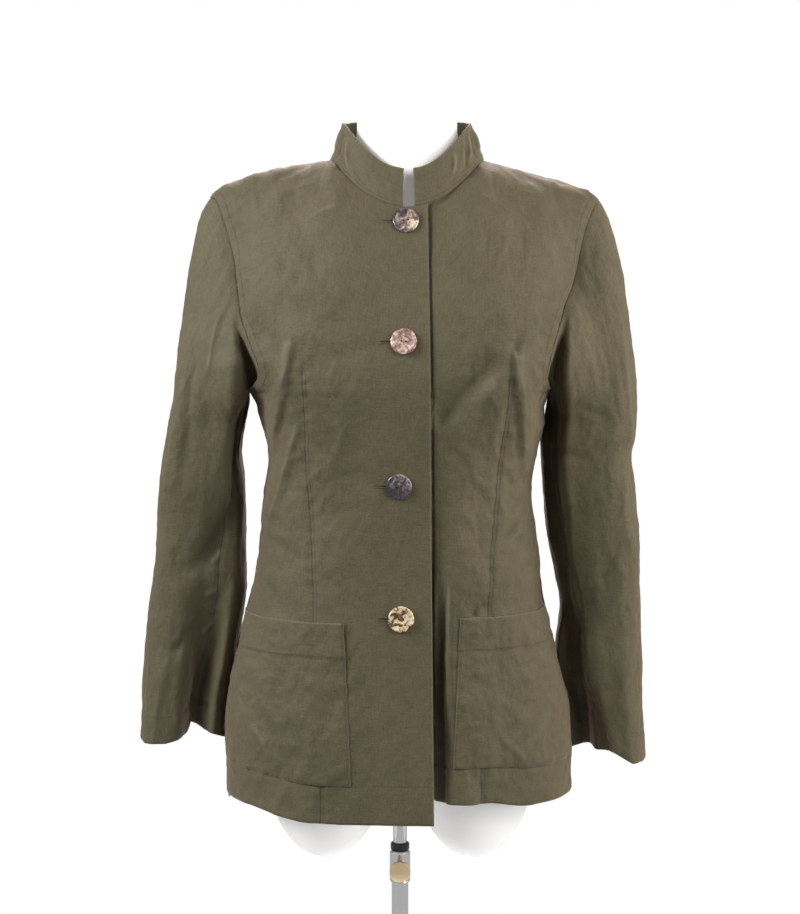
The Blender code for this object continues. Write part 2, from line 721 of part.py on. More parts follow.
def build_stand(chrome, black, collection, cutters):
    """The stand: rod, tube, ring, clamp with its knob, and base plate with a hub."""
    forward = Matrix.Translation((0.0, 0.0, SCREW_Z)) @ Matrix.Rotation(math.radians(90.0), 4, "X")
    round_bar("form_rod", ROD_RADIUS, ROD_LOW, ROD_TOP, 20, chrome, collection)
    tube = round_bar("stand_tube", TUBE_RADIUS, BASE_THICK + FIT, TUBE_TOP, 28, chrome, collection)
    bore = round_bar("tube_bore", TUBE_BORE, 0.0, CUT_LENGTH, 28, chrome, cutters)
    screw_way = round_bar("screw_way", SCREW_RADIUS + FIT, 0.0, 0.05, 16, chrome, cutters, forward)
    combine(tube, bore, "DIFFERENCE")
    combine(tube, screw_way, "DIFFERENCE")
    ring = round_bar(
        "stand_ring", RING_RADIUS, TUBE_TOP + FIT, RING_TOP, 28, black, collection, None, METAL_EDGE
    )
    combine(ring, bore, "DIFFERENCE")
    clamp = round_bar(
        "stand_clamp", CLAMP_RADIUS, CLAMP_LOW, CLAMP_TOP, 28, chrome, collection, None, METAL_EDGE
    )
    boss = round_bar("clamp_boss", BOSS_RADIUS, 0.006, BOSS_END, 18, chrome, cutters, forward)
    tube_way = round_bar("tube_way", TUBE_RADIUS + FIT, 0.0, CUT_LENGTH, 28, chrome, cutters)
    combine(clamp, boss, "UNION")
    combine(clamp, tube_way, "DIFFERENCE")
    combine(clamp, screw_way, "DIFFERENCE")
    knob_end = BOSS_END + KNOB_GAP
    ahead = Matrix.Rotation(math.radians(90.0), 4, "X")
    knob = round_bar(
        "clamp_knob", KNOB_RADIUS, knob_end, knob_end + KNOB_THICK, 26, chrome, collection, ahead, KNOB_EDGE
    )
    knob.location = (0.0, 0.0, SCREW_Z)
    shank_low = ROD_RADIUS + FIT
    shank = round_bar(
        "knob_shank", SCREW_RADIUS, shank_low, knob_end + KNOB_THICK / 4, 16, chrome, cutters, forward
    )
    combine(knob, shank, "UNION")
    base = round_bar("stand_base", BASE_RADIUS, 0.0, BASE_THICK, 56, chrome, collection, None, BASE_EDGE)
    hub = round_bar(
        "base_hub", HUB_RADIUS, BASE_THICK - BASE_EDGE, BASE_THICK + HUB_HEIGHT, 28, chrome, cutters
    )
    seat = round_bar("hub_seat", TUBE_RADIUS + FIT, BASE_THICK, 0.1, 28, chrome, cutters)
    combine(base, hub, "UNION")
    combine(base, seat, "DIFFERENCE")


def main():
    """Build the jacket, the form and the stand."""
    clear_scene()
    parts = bpy.data.collections.new(OBJECT_NAME)
    cutters = bpy.data.collections.new("cutters")
    bpy.context.scene.collection.children.link(parts)
    bpy.context.scene.collection.children.link(cutters)

    olive = material("olive_cloth", (0.125, 0.111, 0.072), 0.0, 0.85)
    white = material("white_form", (0.80, 0.79, 0.77), 0.0, 0.45)
    chrome = material("chrome_metal", (0.75, 0.75, 0.76), 1.0, 0.12)
    black = material("black_ring", (0.02, 0.02, 0.02), 0.0, 0.4)
    shells = [
        material("shell_grey", (0.30, 0.26, 0.27), 0.0, 0.25),
        material("shell_rose", (0.38, 0.28, 0.24), 0.0, 0.25),
        material("shell_dark", (0.16, 0.14, 0.15), 0.0, 0.25),
        material("shell_cream", (0.55, 0.45, 0.27), 0.0, 0.25),
    ]

    cloth("front_right", front_right_grid(), CLOTH, olive, parts)
    cloth("front_left", front_left_grid(), CLOTH, olive, parts)
    cloth("back_panel", back_grid(), CLOTH, olive, parts)
    right = sleeve_grid(-1, SLEEVE_RIGHT)
    left = sleeve_grid(1, SLEEVE_LEFT)
    cloth("sleeve_right", right[:, ::-1], CLOTH, olive, parts, True)
    cloth("sleeve_left", left, CLOTH, olive, parts, True)
    cloth("collar_band", collar_grid(), COLLAR_CLOTH, olive, parts)
    cloth("pocket_right", pocket_grid(-1), CLOTH, olive, parts)
    cloth("pocket_left", pocket_grid(1), CLOTH, olive, parts)
    build_buttons(shells, parts, cutters)
    build_form(white, parts, cutters)
    build_stand(chrome, black, parts, cutters)


main()
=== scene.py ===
"""Looks of an olive stand-collar jacket buttoned on a white dress form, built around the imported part.

Metres, +Z up, the front faces -Y and the wearer's left is +X.
"""

import logging
import math
from dataclasses import dataclass, field, replace
from enum import Enum
from functools import cache

import bmesh
import bpy
import numpy as np
from bpy.types import Material, Mesh, Node, NodeSocket, NodeTree, Object, Scene
from mathutils import Matrix, Vector


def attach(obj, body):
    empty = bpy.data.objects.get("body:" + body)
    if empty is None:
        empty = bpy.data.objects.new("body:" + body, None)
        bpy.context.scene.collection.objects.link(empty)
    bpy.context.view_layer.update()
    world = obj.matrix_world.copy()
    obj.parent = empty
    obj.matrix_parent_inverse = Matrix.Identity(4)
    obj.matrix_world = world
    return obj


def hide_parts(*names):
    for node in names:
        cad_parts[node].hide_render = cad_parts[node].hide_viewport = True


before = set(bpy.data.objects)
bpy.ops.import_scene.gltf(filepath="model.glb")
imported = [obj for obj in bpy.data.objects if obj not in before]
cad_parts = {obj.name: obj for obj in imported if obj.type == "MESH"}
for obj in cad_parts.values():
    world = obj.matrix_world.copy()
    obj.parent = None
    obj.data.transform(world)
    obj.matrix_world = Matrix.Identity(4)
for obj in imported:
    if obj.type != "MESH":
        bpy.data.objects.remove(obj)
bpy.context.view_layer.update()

LOG = logging.getLogger("jacket")
Grid = np.ndarray
Map = tuple[tuple[float, float], ...]
Triple = tuple[float, float, float]

# Cut of the jacket, shared by its panels; a pair holds the right and the left side's value
HEM_Z = 0.300
ARMPIT_Z = 0.712
NECK_POINT_Z = 0.9395
NECK_X = 0.007
NECK_SHARE = 0.42
SHOULDER_Y = 0.004
TIP_Y = 0.010
TIP_RIGHT = 0.189
TIP_LEFT = 0.198
SHOULDER_FALL = (0.0270, 0.0315)
SHOULDER_RISE = (0.0030, 0.0004)
TIP_DROOP = (0.0100, 0.0073)
NECK_HALF = 0.0755
NECK_DROP = 0.0465
CLOTH = 0.0012
COLLAR_WALL = 0.0020
SEAM_GAP = 0.0003
SIDE_LENGTH = 0.21
LEFT_LIFT = 0.013
RIGHT_LIFT = 0.010
UPPER_LENGTH = 0.215
HEM_TURN = 0.0375
ARMHOLE_STITCH = 0.0082
SEAM_INSET = 0.0012
# Heights between which the stitches of the hem and of the armholes lie
HEM_HEIGHTS = (0.30, 0.40)
ARMHOLE_HEIGHTS = (0.70, 0.93)
# Cloth around a sleeve for each degree, a distance that counts as far from a seam, and the sharpest soft edge
DEGREE = 0.00089
FAR = 0.1
SHARP_ANGLE = 40.0


class Side(Enum):
    """The wearer's two sides, as the sign of X."""

    RIGHT = -1
    LEFT = 1


class Body(Enum):
    """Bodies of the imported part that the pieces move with."""

    FORM = "form"
    ROD = "rod"
    STAND = "stand"
    KNOB = "knob"


class Slot(Enum):
    """Material slots of the record."""

    CLOTH = "olive_cloth"
    FORM = "white_form"
    CHROME = "chrome_metal"
    RING = "black_ring"
    GREY_SHELL = "shell_grey"
    ROSE_SHELL = "shell_rose"
    DARK_SHELL = "shell_dark"
    CREAM_SHELL = "shell_cream"


class Hold(Enum):
    """How a sheet of cloth is held."""

    DRAPED = "draped"
    HUNG = "hung"
    LAID = "laid"


def ease(low: float, high: float, value: Grid | float) -> Grid | float:
    """Smooth step from 0 at low to 1 at high."""
    t = np.clip((value - low) / (high - low), 0.0, 1.0)
    return t * t * (3.0 - 2.0 * t)


def hermite(start: Grid, start_slope: Grid, end: Grid, end_slope: Grid, t: Grid | float) -> Grid:
    """Cubic from start to end with the given slopes, at the share t.

    Args:
        start: First value.
        start_slope: Slope there.
        end: Last value.
        end_slope: Slope there.
        t: Share of the way.

    Returns:
        The value at the share.
    """
    t2, t3 = t * t, t * t * t
    first = (2 * t3 - 3 * t2 + 1) * start + (t3 - 2 * t2 + t) * start_slope
    return first + (3 * t2 - 2 * t3) * end + (t3 - t2) * end_slope


def bell(value: Grid, width: float) -> Grid:
    """Soft bump of height 1 at 0."""
    return np.exp(-((value / width) ** 2))


def unit(vectors: Grid) -> Grid:
    """Vectors of length 1 that point the same way."""
    return vectors / np.linalg.norm(vectors, axis=-1, keepdims=True)


def run_along(points: Grid) -> Grid:
    """Distance along a line of points, 0 at the first."""
    return np.concatenate([[0.0], np.cumsum(np.linalg.norm(np.diff(points, axis=0), axis=1))])


def noise(a: Grid, b: Grid, seed: int) -> Grid:
    """Smooth noise of about -1 to 1 over a plane, the same at each run.

    Args:
        a: First coordinate, one cell per unit.
        b: Second coordinate.
        seed: Picks the pattern.

    Returns:
        Values in the shape of the coordinates.
    """
    angle = np.random.default_rng(seed).uniform(0.0, 2 * math.pi, (64, 64))
    i, j = np.floor(a).astype(int), np.floor(b).astype(int)
    fa, fb = a - i, b - j

    def corner(di: int, dj: int) -> Grid:
        """Slope of one lattice corner at the points."""
        turn = angle[(i + di) % 64, (j + dj) % 64]
        return np.cos(turn) * (fa - di) + np.sin(turn) * (fb - dj)

    wa, wb = (f**3 * (f * (6 * f - 15) + 10) for f in (fa, fb))
    low = corner(0, 0) * (1 - wa) + corner(1, 0) * wa
    high = corner(0, 1) * (1 - wa) + corner(1, 1) * wa
    return (low * (1 - wb) + high * wb) * 1.6


def smooth_path(places: Map, steps: int = 8) -> Grid:
    """Points of a soft curve through the places of a path.

    Args:
        places: Places of the path.
        steps: Points from one place to the next.

    Returns:
        The points.
    """
    knots = np.array(places, float)
    if len(knots) == 2:
        return knots
    slopes = np.gradient(knots, axis=0)
    t = np.linspace(0.0, 1.0, steps, endpoint=False)[:, None]
    runs = [
        hermite(knots[k], slopes[k], knots[k + 1], slopes[k + 1], t) for k in range(len(knots) - 1)
    ]
    return np.concatenate([*runs, knots[-1:]])


class SizeTable:
    """Named columns of sizes by height, smooth between the rows."""

    def __init__(self, columns: str, *rows: tuple[float, ...]) -> None:
        """Keep the rows in order of height.

        Args:
            columns: Names of the columns, the height first.
            rows: Sizes, one row per height.
        """
        values = np.array(sorted(rows), float)
        self.z = values[:, 0]
        self.values = dict(zip(columns.split()[1:], values.T[1:]))
        self.slopes = {name: np.gradient(column, self.z) for name, column in self.values.items()}

    def at(self, column: str, z: Grid | float) -> Grid:
        """Value of a column at heights.

        Args:
            column: Name of the column.
            z: Heights.

        Returns:
            The values.
        """
        i = np.clip(np.searchsorted(self.z, z) - 1, 0, len(self.z) - 2)
        span = self.z[i + 1] - self.z[i]
        t = np.clip((z - self.z[i]) / span, 0.0, 1.0)
        value, slope = self.values[column], self.slopes[column]
        return hermite(value[i], slope[i] * span, value[i + 1], slope[i + 1] * span, t)


BODY_COLUMNS = "z right left front back power"
JACKET_SIZES = SizeTable(
    BODY_COLUMNS,
    (0.300, 0.174, 0.172, 0.125, 0.118, 2.20),
    (0.340, 0.174, 0.171, 0.123, 0.117, 2.20),
    (0.380, 0.174, 0.168, 0.121, 0.115, 2.20),
    (0.420, 0.170, 0.162, 0.119, 0.112, 2.20),
    (0.470, 0.160, 0.151, 0.116, 0.106, 2.25),
    (0.516, 0.148, 0.141, 0.114, 0.098, 2.30),
    (0.562, 0.139, 0.137, 0.113, 0.092, 2.30),
    (0.610, 0.134, 0.131, 0.114, 0.088, 2.35),
    (0.652, 0.133, 0.136, 0.118, 0.092, 2.45),
    (0.682, 0.144, 0.143, 0.122, 0.099, 2.55),
    (0.712, 0.156, 0.154, 0.125, 0.105, 2.70),
)
FORM_SIZES = SizeTable(
    BODY_COLUMNS,
    (0.330, 0.125, 0.125, 0.074, 0.078, 2.20),
    (0.400, 0.147, 0.147, 0.076, 0.096, 2.20),
    (0.470, 0.136, 0.136, 0.078, 0.090, 2.20),
    (0.550, 0.118, 0.118, 0.082, 0.078, 2.20),
    (0.615, 0.112, 0.112, 0.086, 0.073, 2.20),
    (0.660, 0.117, 0.117, 0.098, 0.080, 2.25),
    (0.712, 0.140, 0.140, 0.110, 0.092, 2.40),
)
SLEEVE_COLUMNS = "z out depth half_out half_depth fold_at fold_in"
SLEEVE_SIZES = {
    Side.RIGHT: SizeTable(
        SLEEVE_COLUMNS,
        (0.682, 0.1920, 0.012, 0.0375, 0.060, 130, 0.000),
        (0.652, 0.1980, 0.014, 0.0370, 0.058, 130, 0.000),
        (0.622, 0.1990, 0.016, 0.0410, 0.057, 130, 0.001),
        (0.592, 0.2000, 0.019, 0.0430, 0.056, 128, 0.003),
        (0.562, 0.2020, 0.022, 0.0450, 0.055, 124, 0.006),
        (0.531, 0.2030, 0.025, 0.0460, 0.055, 120, 0.006),
        (0.501, 0.2055, 0.028, 0.0475, 0.055, 112, 0.010),
        (0.440, 0.2130, 0.032, 0.0450, 0.055, 114, 0.030),
        (0.395, 0.2185, 0.035, 0.0430, 0.055, 113, 0.038),
        (0.361, 0.2200, 0.036, 0.0435, 0.055, 110, 0.040),
    ),
    Side.LEFT: SizeTable(
        SLEEVE_COLUMNS,
        (0.682, 0.1900, 0.010, 0.0450, 0.060, 125, 0.000),
        (0.667, 0.1885, 0.010, 0.0460, 0.060, 125, 0.000),
        (0.652, 0.1870, 0.011, 0.0440, 0.059, 125, 0.000),
        (0.622, 0.1890, 0.013, 0.0450, 0.058, 125, 0.001),
        (0.592, 0.1915, 0.016, 0.0450, 0.058, 125, 0.003),
        (0.562, 0.1950, 0.019, 0.0447, 0.058, 130, 0.003),
        (0.531, 0.1990, 0.022, 0.0420, 0.058, 130, 0.003),
        (0.501, 0.2026, 0.025, 0.0403, 0.057, 128, 0.004),
        (0.440, 0.2015, 0.030, 0.0430, 0.057, 122, 0.006),
        (0.395, 0.2060, 0.033, 0.0400, 0.057, 118, 0.010),
        (0.338, 0.2090, 0.035, 0.0405, 0.057, 112, 0.014),
    ),
}
# Where the inner face of a sleeve starts, in degrees, and how far it is set back
SLEEVE_TUCK = {
    Side.RIGHT: SizeTable(
        "z edge depth",
        (0.560, 138, 0.000), (0.614, 138, 0.009), (0.646, 139, 0.016), (0.675, 138, 0.021),
        (0.695, 131, 0.025), (0.716, 119, 0.027), (0.736, 110, 0.027), (0.756, 102, 0.022),
        (0.775, 93, 0.014), (0.792, 86, 0.005), (0.806, 80, 0.000),
    ),
    Side.LEFT: SizeTable(
        "z edge depth",
        (0.338, 106, 0.032), (0.391, 109, 0.030), (0.440, 113, 0.026), (0.475, 120, 0.020),
        (0.505, 140, 0.010), (0.545, 132, 0.012), (0.596, 125, 0.016), (0.635, 125, 0.019),
        (0.666, 125, 0.022), (0.695, 126, 0.025), (0.716, 121, 0.027), (0.735, 115, 0.027),
        (0.755, 106, 0.024), (0.775, 97, 0.019), (0.795, 88, 0.012), (0.815, 80, 0.004),
        (0.830, 75, 0.000),
    ),
}

SWING = SizeTable(
    "z depth",
    (0.300, 0.036), (0.360, 0.033), (0.420, 0.026), (0.470, 0.017), (0.510, 0.009), (0.560, 0.0045),
    (0.620, 0.002), (0.712, 0.001),
)

# How far the armholes cut into the fronts, by share of the way from armpit to shoulder
ARMHOLE_FRONT = SizeTable(
    "z right left",
    (0.00, 0.000, 0.000), (0.02, 0.190, 0.160), (0.05, 0.330, 0.275), (0.09, 0.395, 0.335),
    (0.14, 0.396, 0.342), (0.18, 0.370, 0.332), (0.23, 0.336, 0.308), (0.28, 0.298, 0.275),
    (0.35, 0.258, 0.225), (0.41, 0.228, 0.158), (0.48, 0.195, 0.118), (0.57, 0.140, 0.090),
    (0.66, 0.092, 0.066), (0.75, 0.060, 0.042), (0.85, 0.032, 0.020), (0.92, 0.008, 0.006),
    (1.00, 0.000, 0.000),
)


@dataclass(frozen=True)
class TorsoShape:
    """Smooth outer surface of a torso, for the jacket or for the form inside it."""

    sizes: SizeTable
    neck_half: float
    neck_front: float
    neck_back: float
    drop: float
    tip_inset: float
    fullness: float
    pinch: tuple[float, float] = (0.0, 0.0)
    corner_steps: tuple[float, ...] = (-0.12, -0.08, -0.04, 0.0, 0.04, 0.08, 0.12)

    def quarter(self, column: str, z: float, back: bool, share: Grid) -> tuple[Grid, Grid]:
        """A quarter of a level section at shares of its length from the centre line to the side.

        Args:
            column: Side column of the size table.
            z: Height of the section.
            back: Whether it is the back half.
            share: Shares of the length, 0 to 1.

        Returns:
            Distances sideways and distances from the middle plane.
        """
        angle = np.linspace(0.0, math.pi / 2, 241)
        power = 2.0 / self.sizes.at("power", z)
        x = self.sizes.at(column, z) * np.sin(angle) ** power
        y = self.sizes.at("back" if back else "front", z) * np.cos(angle) ** power
        run = np.concatenate([[0.0], np.cumsum(np.hypot(np.diff(x), np.diff(y)))])
        return np.interp(share * run[-1], run, x), np.interp(share * run[-1], run, y)

    def ring(self, z: float, u: Grid, back: bool) -> Grid:
        """Points of a level section.

        Args:
            z: Its height.
            u: Shares, -1 at the right side to 1 at the left.
            back: Whether it is the back half.

        Returns:
            The points.
        """
        right = self.quarter("right", z, back, np.abs(u))
        left = self.quarter("left", z, back, np.abs(u))
        x = np.where(u < 0, -right[0], left[0])
        y = np.where(u < 0, right[1], left[1])
        return np.stack([x, y if back else -y, np.full_like(x, z)], axis=-1)

    def top_line(self, u: Grid, back: bool) -> Grid:
        """Neckline out to the neck point, then the shoulder line out to the tip.

        Args:
            u: Shares, -1 at the right side to 1 at the left.
            back: Whether it is the back half.

        Returns:
            The points.
        """
        angle = np.clip(np.abs(u) / NECK_SHARE, 0.0, 1.0) * math.pi / 2
        along = np.clip((np.abs(u) - NECK_SHARE) / (1.0 - NECK_SHARE), 0.0, 1.0)
        tip = np.where(u < 0, TIP_RIGHT + NECK_X, TIP_LEFT - NECK_X)
        x = self.neck_half * np.sin(angle) + along * (tip - self.tip_inset - self.neck_half)
        depth = self.neck_back if back else -self.neck_front
        y = depth * np.cos(angle) + SHOULDER_Y * np.sin(angle) ** 2 + along * (TIP_Y - SHOULDER_Y)
        reach = np.clip((x - NECK_HALF) / (tip - NECK_HALF), -0.3, 1.0)
        out = np.clip(reach, 0.0, 1.0)
        rise = np.where(u < 0, *SHOULDER_RISE) * np.sin(math.pi * out) - np.where(u < 0, *TIP_DROOP) * out**12
        slope = rise - np.where(u < 0, *SHOULDER_FALL) * reach
        dip = 0.003 if back else -NECK_DROP
        z = NECK_POINT_Z + dip * np.cos(angle) ** 2 + slope * np.sin(angle) ** 4 - self.drop
        return np.stack([NECK_X + np.sign(u) * x, y, z], axis=-1)

    def upper(self, v: float, u: Grid, back: bool) -> Grid:
        """A row of points above the armpit level.

        Args:
            v: 0 at the armpit level, 1 on the neckline and shoulder line.
            u: Shares, -1 at the right side to 1 at the left.
            back: Whether it is the back half.

        Returns:
            The points.
        """
        low = self.ring(ARMPIT_Z, u, back)
        rise = (low - self.ring(ARMPIT_Z - 0.006, u, back)) / 0.006
        exact = self.top_line(u, back)
        soft = sum(self.top_line(np.clip(u + s, -1.0, 1.0), back) for s in self.corner_steps)
        near_corner = bell(np.abs(u) - NECK_SHARE, 0.18)[..., None]
        top = exact + (soft / len(self.corner_steps) - exact) * near_corner * (1.0 - v**4)
        length = np.linalg.norm(top - low, axis=-1, keepdims=True)
        w = ease(0.0, 1.0, np.abs(u) / NECK_SHARE)[..., None]
        way = np.array([0.0, 0.42, 0.90]) * (1 - w) + np.array([0.0, 1.0, 0.0]) * w
        if back:
            way = way * np.array([1.0, -1.0, 1.0])
        return hermite(low, rise * length * 0.9, top, way * length * self.fullness, v)

    def row(self, level: float, u: Grid, back: bool) -> Grid:
        """A row of points, drawn in beside the armpits.

        Args:
            level: Height from the armpit level up to 0, and the share of the way to the top above 0.
            u: Shares, -1 at the right side to 1 at the left.
            back: Whether it is the back half.

        Returns:
            The points.
        """
        points = self.ring(ARMPIT_Z + level, u, back) if level <= 0.0 else self.upper(level, u, back)
        x, z = points[..., 0], points[..., 2]
        right, left = self.pinch
        armpit = bell(z - 0.708, 0.018)
        on_right = right * (bell(z - 0.668, 0.030) + 1.8 * armpit)
        on_left = 0.8 * left * bell(z - 0.706, 0.020)
        drawn = np.where(x < 0, on_right, on_left) * ease(0.09, 0.15, np.abs(x))
        points[..., 0] -= np.sign(x) * drawn
        return points

    def share_at_x(self, level: float, x: float) -> float:
        """Share u on the front where a row has the given x."""
        u = np.linspace(-0.9, 0.9, 361)
        return float(np.interp(x, self.row(level, u, False)[:, 0], u))


JACKET = TorsoShape(JACKET_SIZES, NECK_HALF, 0.078, 0.064, 0.0, 0.0, 0.85, (0.004, 0.008))
FORM = TorsoShape(FORM_SIZES, 0.055, 0.056, 0.044, 0.0042, 0.016, 0.66)


def armhole_share(level: float, back: bool, side: Side = Side.LEFT) -> float:
    """Share of the way to the side where the armhole cuts a row.

    Args:
        level: Level of the row.
        back: Whether it is the back half.
        side: Which front.

    Returns:
        The share, 1 below the armhole.
    """
    if level <= 0.0:
        return 1.0
    if not back:
        return 1.0 - float(ARMHOLE_FRONT.at(side.name.lower(), level))
    rise, fall = 0.60, 1.25
    peak = rise / (rise + fall)
    top = peak**rise * (1 - peak) ** fall
    return 1.0 - 0.15 * level**rise * max(1.0 - level, 0.0) ** fall / top


def armhole_edge(side: Side, back: bool, count: int) -> Grid:
    """Armhole edge of a front or back from the shoulder tip to the armpit, in equal steps.

    Args:
        side: The wearer's side.
        back: Whether it is the back half.
        count: Number of points.

    Returns:
        The points.
    """
    dense = []
    for level in np.concatenate([np.linspace(1.0, 0.06, 60), np.geomspace(0.06, 1e-5, 60)]):
        share = side.value * armhole_share(level, back, side)
        dense.append(JACKET.row(level, np.array([share]), back)[0])
    dense = np.array(dense)
    run = run_along(dense)
    at = np.linspace(0.0, run[-1], count)
    return np.stack([np.interp(at, run, dense[:, i]) for i in range(3)], axis=-1)


def row_levels(low: int, high: int) -> Grid:
    """Levels of a panel's rows from the hem to the shoulder seam.

    Args:
        low: Rows up to the armpit level.
        high: Rows above it.

    Returns:
        The levels.
    """
    below = np.linspace(HEM_Z - ARMPIT_Z, 0.0, low)
    t = np.linspace(0.0, 1.0, high + 1)[1:]
    above = 0.4 * t + 0.6 * ease(0.0, 1.0, t)
    above[-1] = 1.0 - 2 * SEAM_GAP
    return np.concatenate([below, above])


@dataclass(frozen=True)
class Crease:
    """A soft ridge or trough along a path on a map of the cloth.

    A path that goes down has its plus side at the viewer's right. A negative height is a trough.
    """

    path: Map
    height: float
    plus: float
    minus: float
    fade: tuple[float, float] = (0.35, 0.35)

    def heights(self, a: Grid, b: Grid) -> Grid:
        """Height of the crease at places of the map.

        Args:
            a: First map coordinate in metres.
            b: Second map coordinate in metres.

        Returns:
            Heights out of the cloth in metres.
        """
        points = smooth_path(self.path)
        best, along, side = np.full(a.shape, 1e9), np.zeros(a.shape), np.zeros(a.shape)
        for k, (p, q) in enumerate(zip(points, points[1:])):
            d = q - p
            t = np.clip(((a - p[0]) * d[0] + (b - p[1]) * d[1]) / max(d @ d, 1e-12), 0.0, 1.0)
            oa, ob = a - (p[0] + t * d[0]), b - (p[1] + t * d[1])
            gap = oa * oa + ob * ob
            closer = gap < best
            best = np.where(closer, gap, best)
            along = np.where(closer, (k + t) / (len(points) - 1), along)
            side = np.where(closer, d[0] * ob - d[1] * oa, side)
        width = np.where(side > 0, self.plus, self.minus)
        rise = ease(0.0, self.fade[0], along) if self.fade[0] else 1.0
        fall = ease(0.0, self.fade[1], 1.0 - along) if self.fade[1] else 1.0
        return self.height * np.exp(-best / width**2) * rise * fall


def crease_rows(*rows: tuple) -> tuple[Crease, ...]:
    """Creases from rows of a path, a height, the widths of both sides and any special fade."""
    return tuple(Crease(*row) for row in rows)


def crease_sum(creases: tuple[Crease, ...], a: Grid, b: Grid) -> Grid:
    """Sum of many creases at places of a map."""
    return sum((crease.heights(a, b) for crease in creases), np.zeros(a.shape))


def ridged(value: Grid) -> Grid:
    """Soft ridges where a noise passes through nothing."""
    return bell(value, 0.20)


def crumple(a: Grid, b: Grid, seed: int, size: float, height: float) -> Grid:
    """Uneven ground of a used cloth: wide swells, dents, crisp wrinkles and fine ones.

    Args:
        a: First map coordinate.
        b: Second map coordinate.
        seed: Picks the pattern.
        size: Width of a swell.
        height: Scale of the heights.

    Returns:
        Heights out of the cloth.
    """
    wide = noise(a / size, b / (1.5 * size), seed)
    small = noise(a / (0.40 * size), b / (0.55 * size), seed + 1)
    sharp = ridged(noise(a / (0.55 * size), b / (0.8 * size), seed + 2))
    crisp = ridged(noise(a / (0.26 * size), b / (0.36 * size), seed + 4))
    fine = noise(a / (0.13 * size), b / (0.17 * size), seed + 3)
    return height * (0.8 * wide + 0.48 * small + 0.34 * sharp + 0.14 * crisp + 0.14 * fine)


def ripple(value: Grid, length: float, sway: float, at: tuple[Grid, Grid], cell: float, seed: int) -> Grid:
    """Uneven wave along a value.

    Args:
        value: Distance that the wave runs along.
        length: Length of one wave.
        sway: How far noise shifts the waves.
        at: Both map coordinates for the noise.
        cell: Width of a cell of the noise.
        seed: Picks the noise.

    Returns:
        Values from -1 to 1.
    """
    a, b = at
    return np.sin(value * 2 * math.pi / length + sway * noise(a / cell, b / cell, seed))


def seam_hollow(gap: Grid, drawn: Grid, depth: float) -> Grid:
    """Hollow along a seam, with the small puckers that its thread draws beside it."""
    return -depth * bell(gap, 0.0045) + 0.0004 * drawn * np.exp(-np.abs(gap) / 0.009)


def turned_hem(gap: Grid, depth: float) -> Grid:
    """How far the double cloth of a turned hem stands out, by distance from the edge."""
    return 0.0004 * (1.0 - ease(depth - 0.003, depth + 0.002, gap))


def flat_height(levels: Grid, shape: tuple[int, ...]) -> Grid:
    """Height of each row on the flat cloth, for a whole grid."""
    cut = np.where(levels <= 0, ARMPIT_Z + levels, ARMPIT_Z + UPPER_LENGTH * levels)
    return np.broadcast_to(cut[:, None], shape)


def sewn_edges(heights: Grid, levels: Grid, shares: Grid, cut: Grid) -> Grid:
    """Heights of a body panel held down at its side seam and its shoulder seam.

    Args:
        heights: Heights of the loose cloth.
        levels: Level of each row.
        shares: Shares across.
        cut: Heights on the flat cloth.

    Returns:
        Heights of the sewn cloth.
    """
    side_gap = np.where(cut <= ARMPIT_Z, (1.0 - np.abs(shares)) * SIDE_LENGTH, FAR)
    heights = heights - 0.0008 * bell(side_gap, 0.004)
    return heights * ease(0.0, 0.008, (1.0 - levels[:, None]) * UPPER_LENGTH)


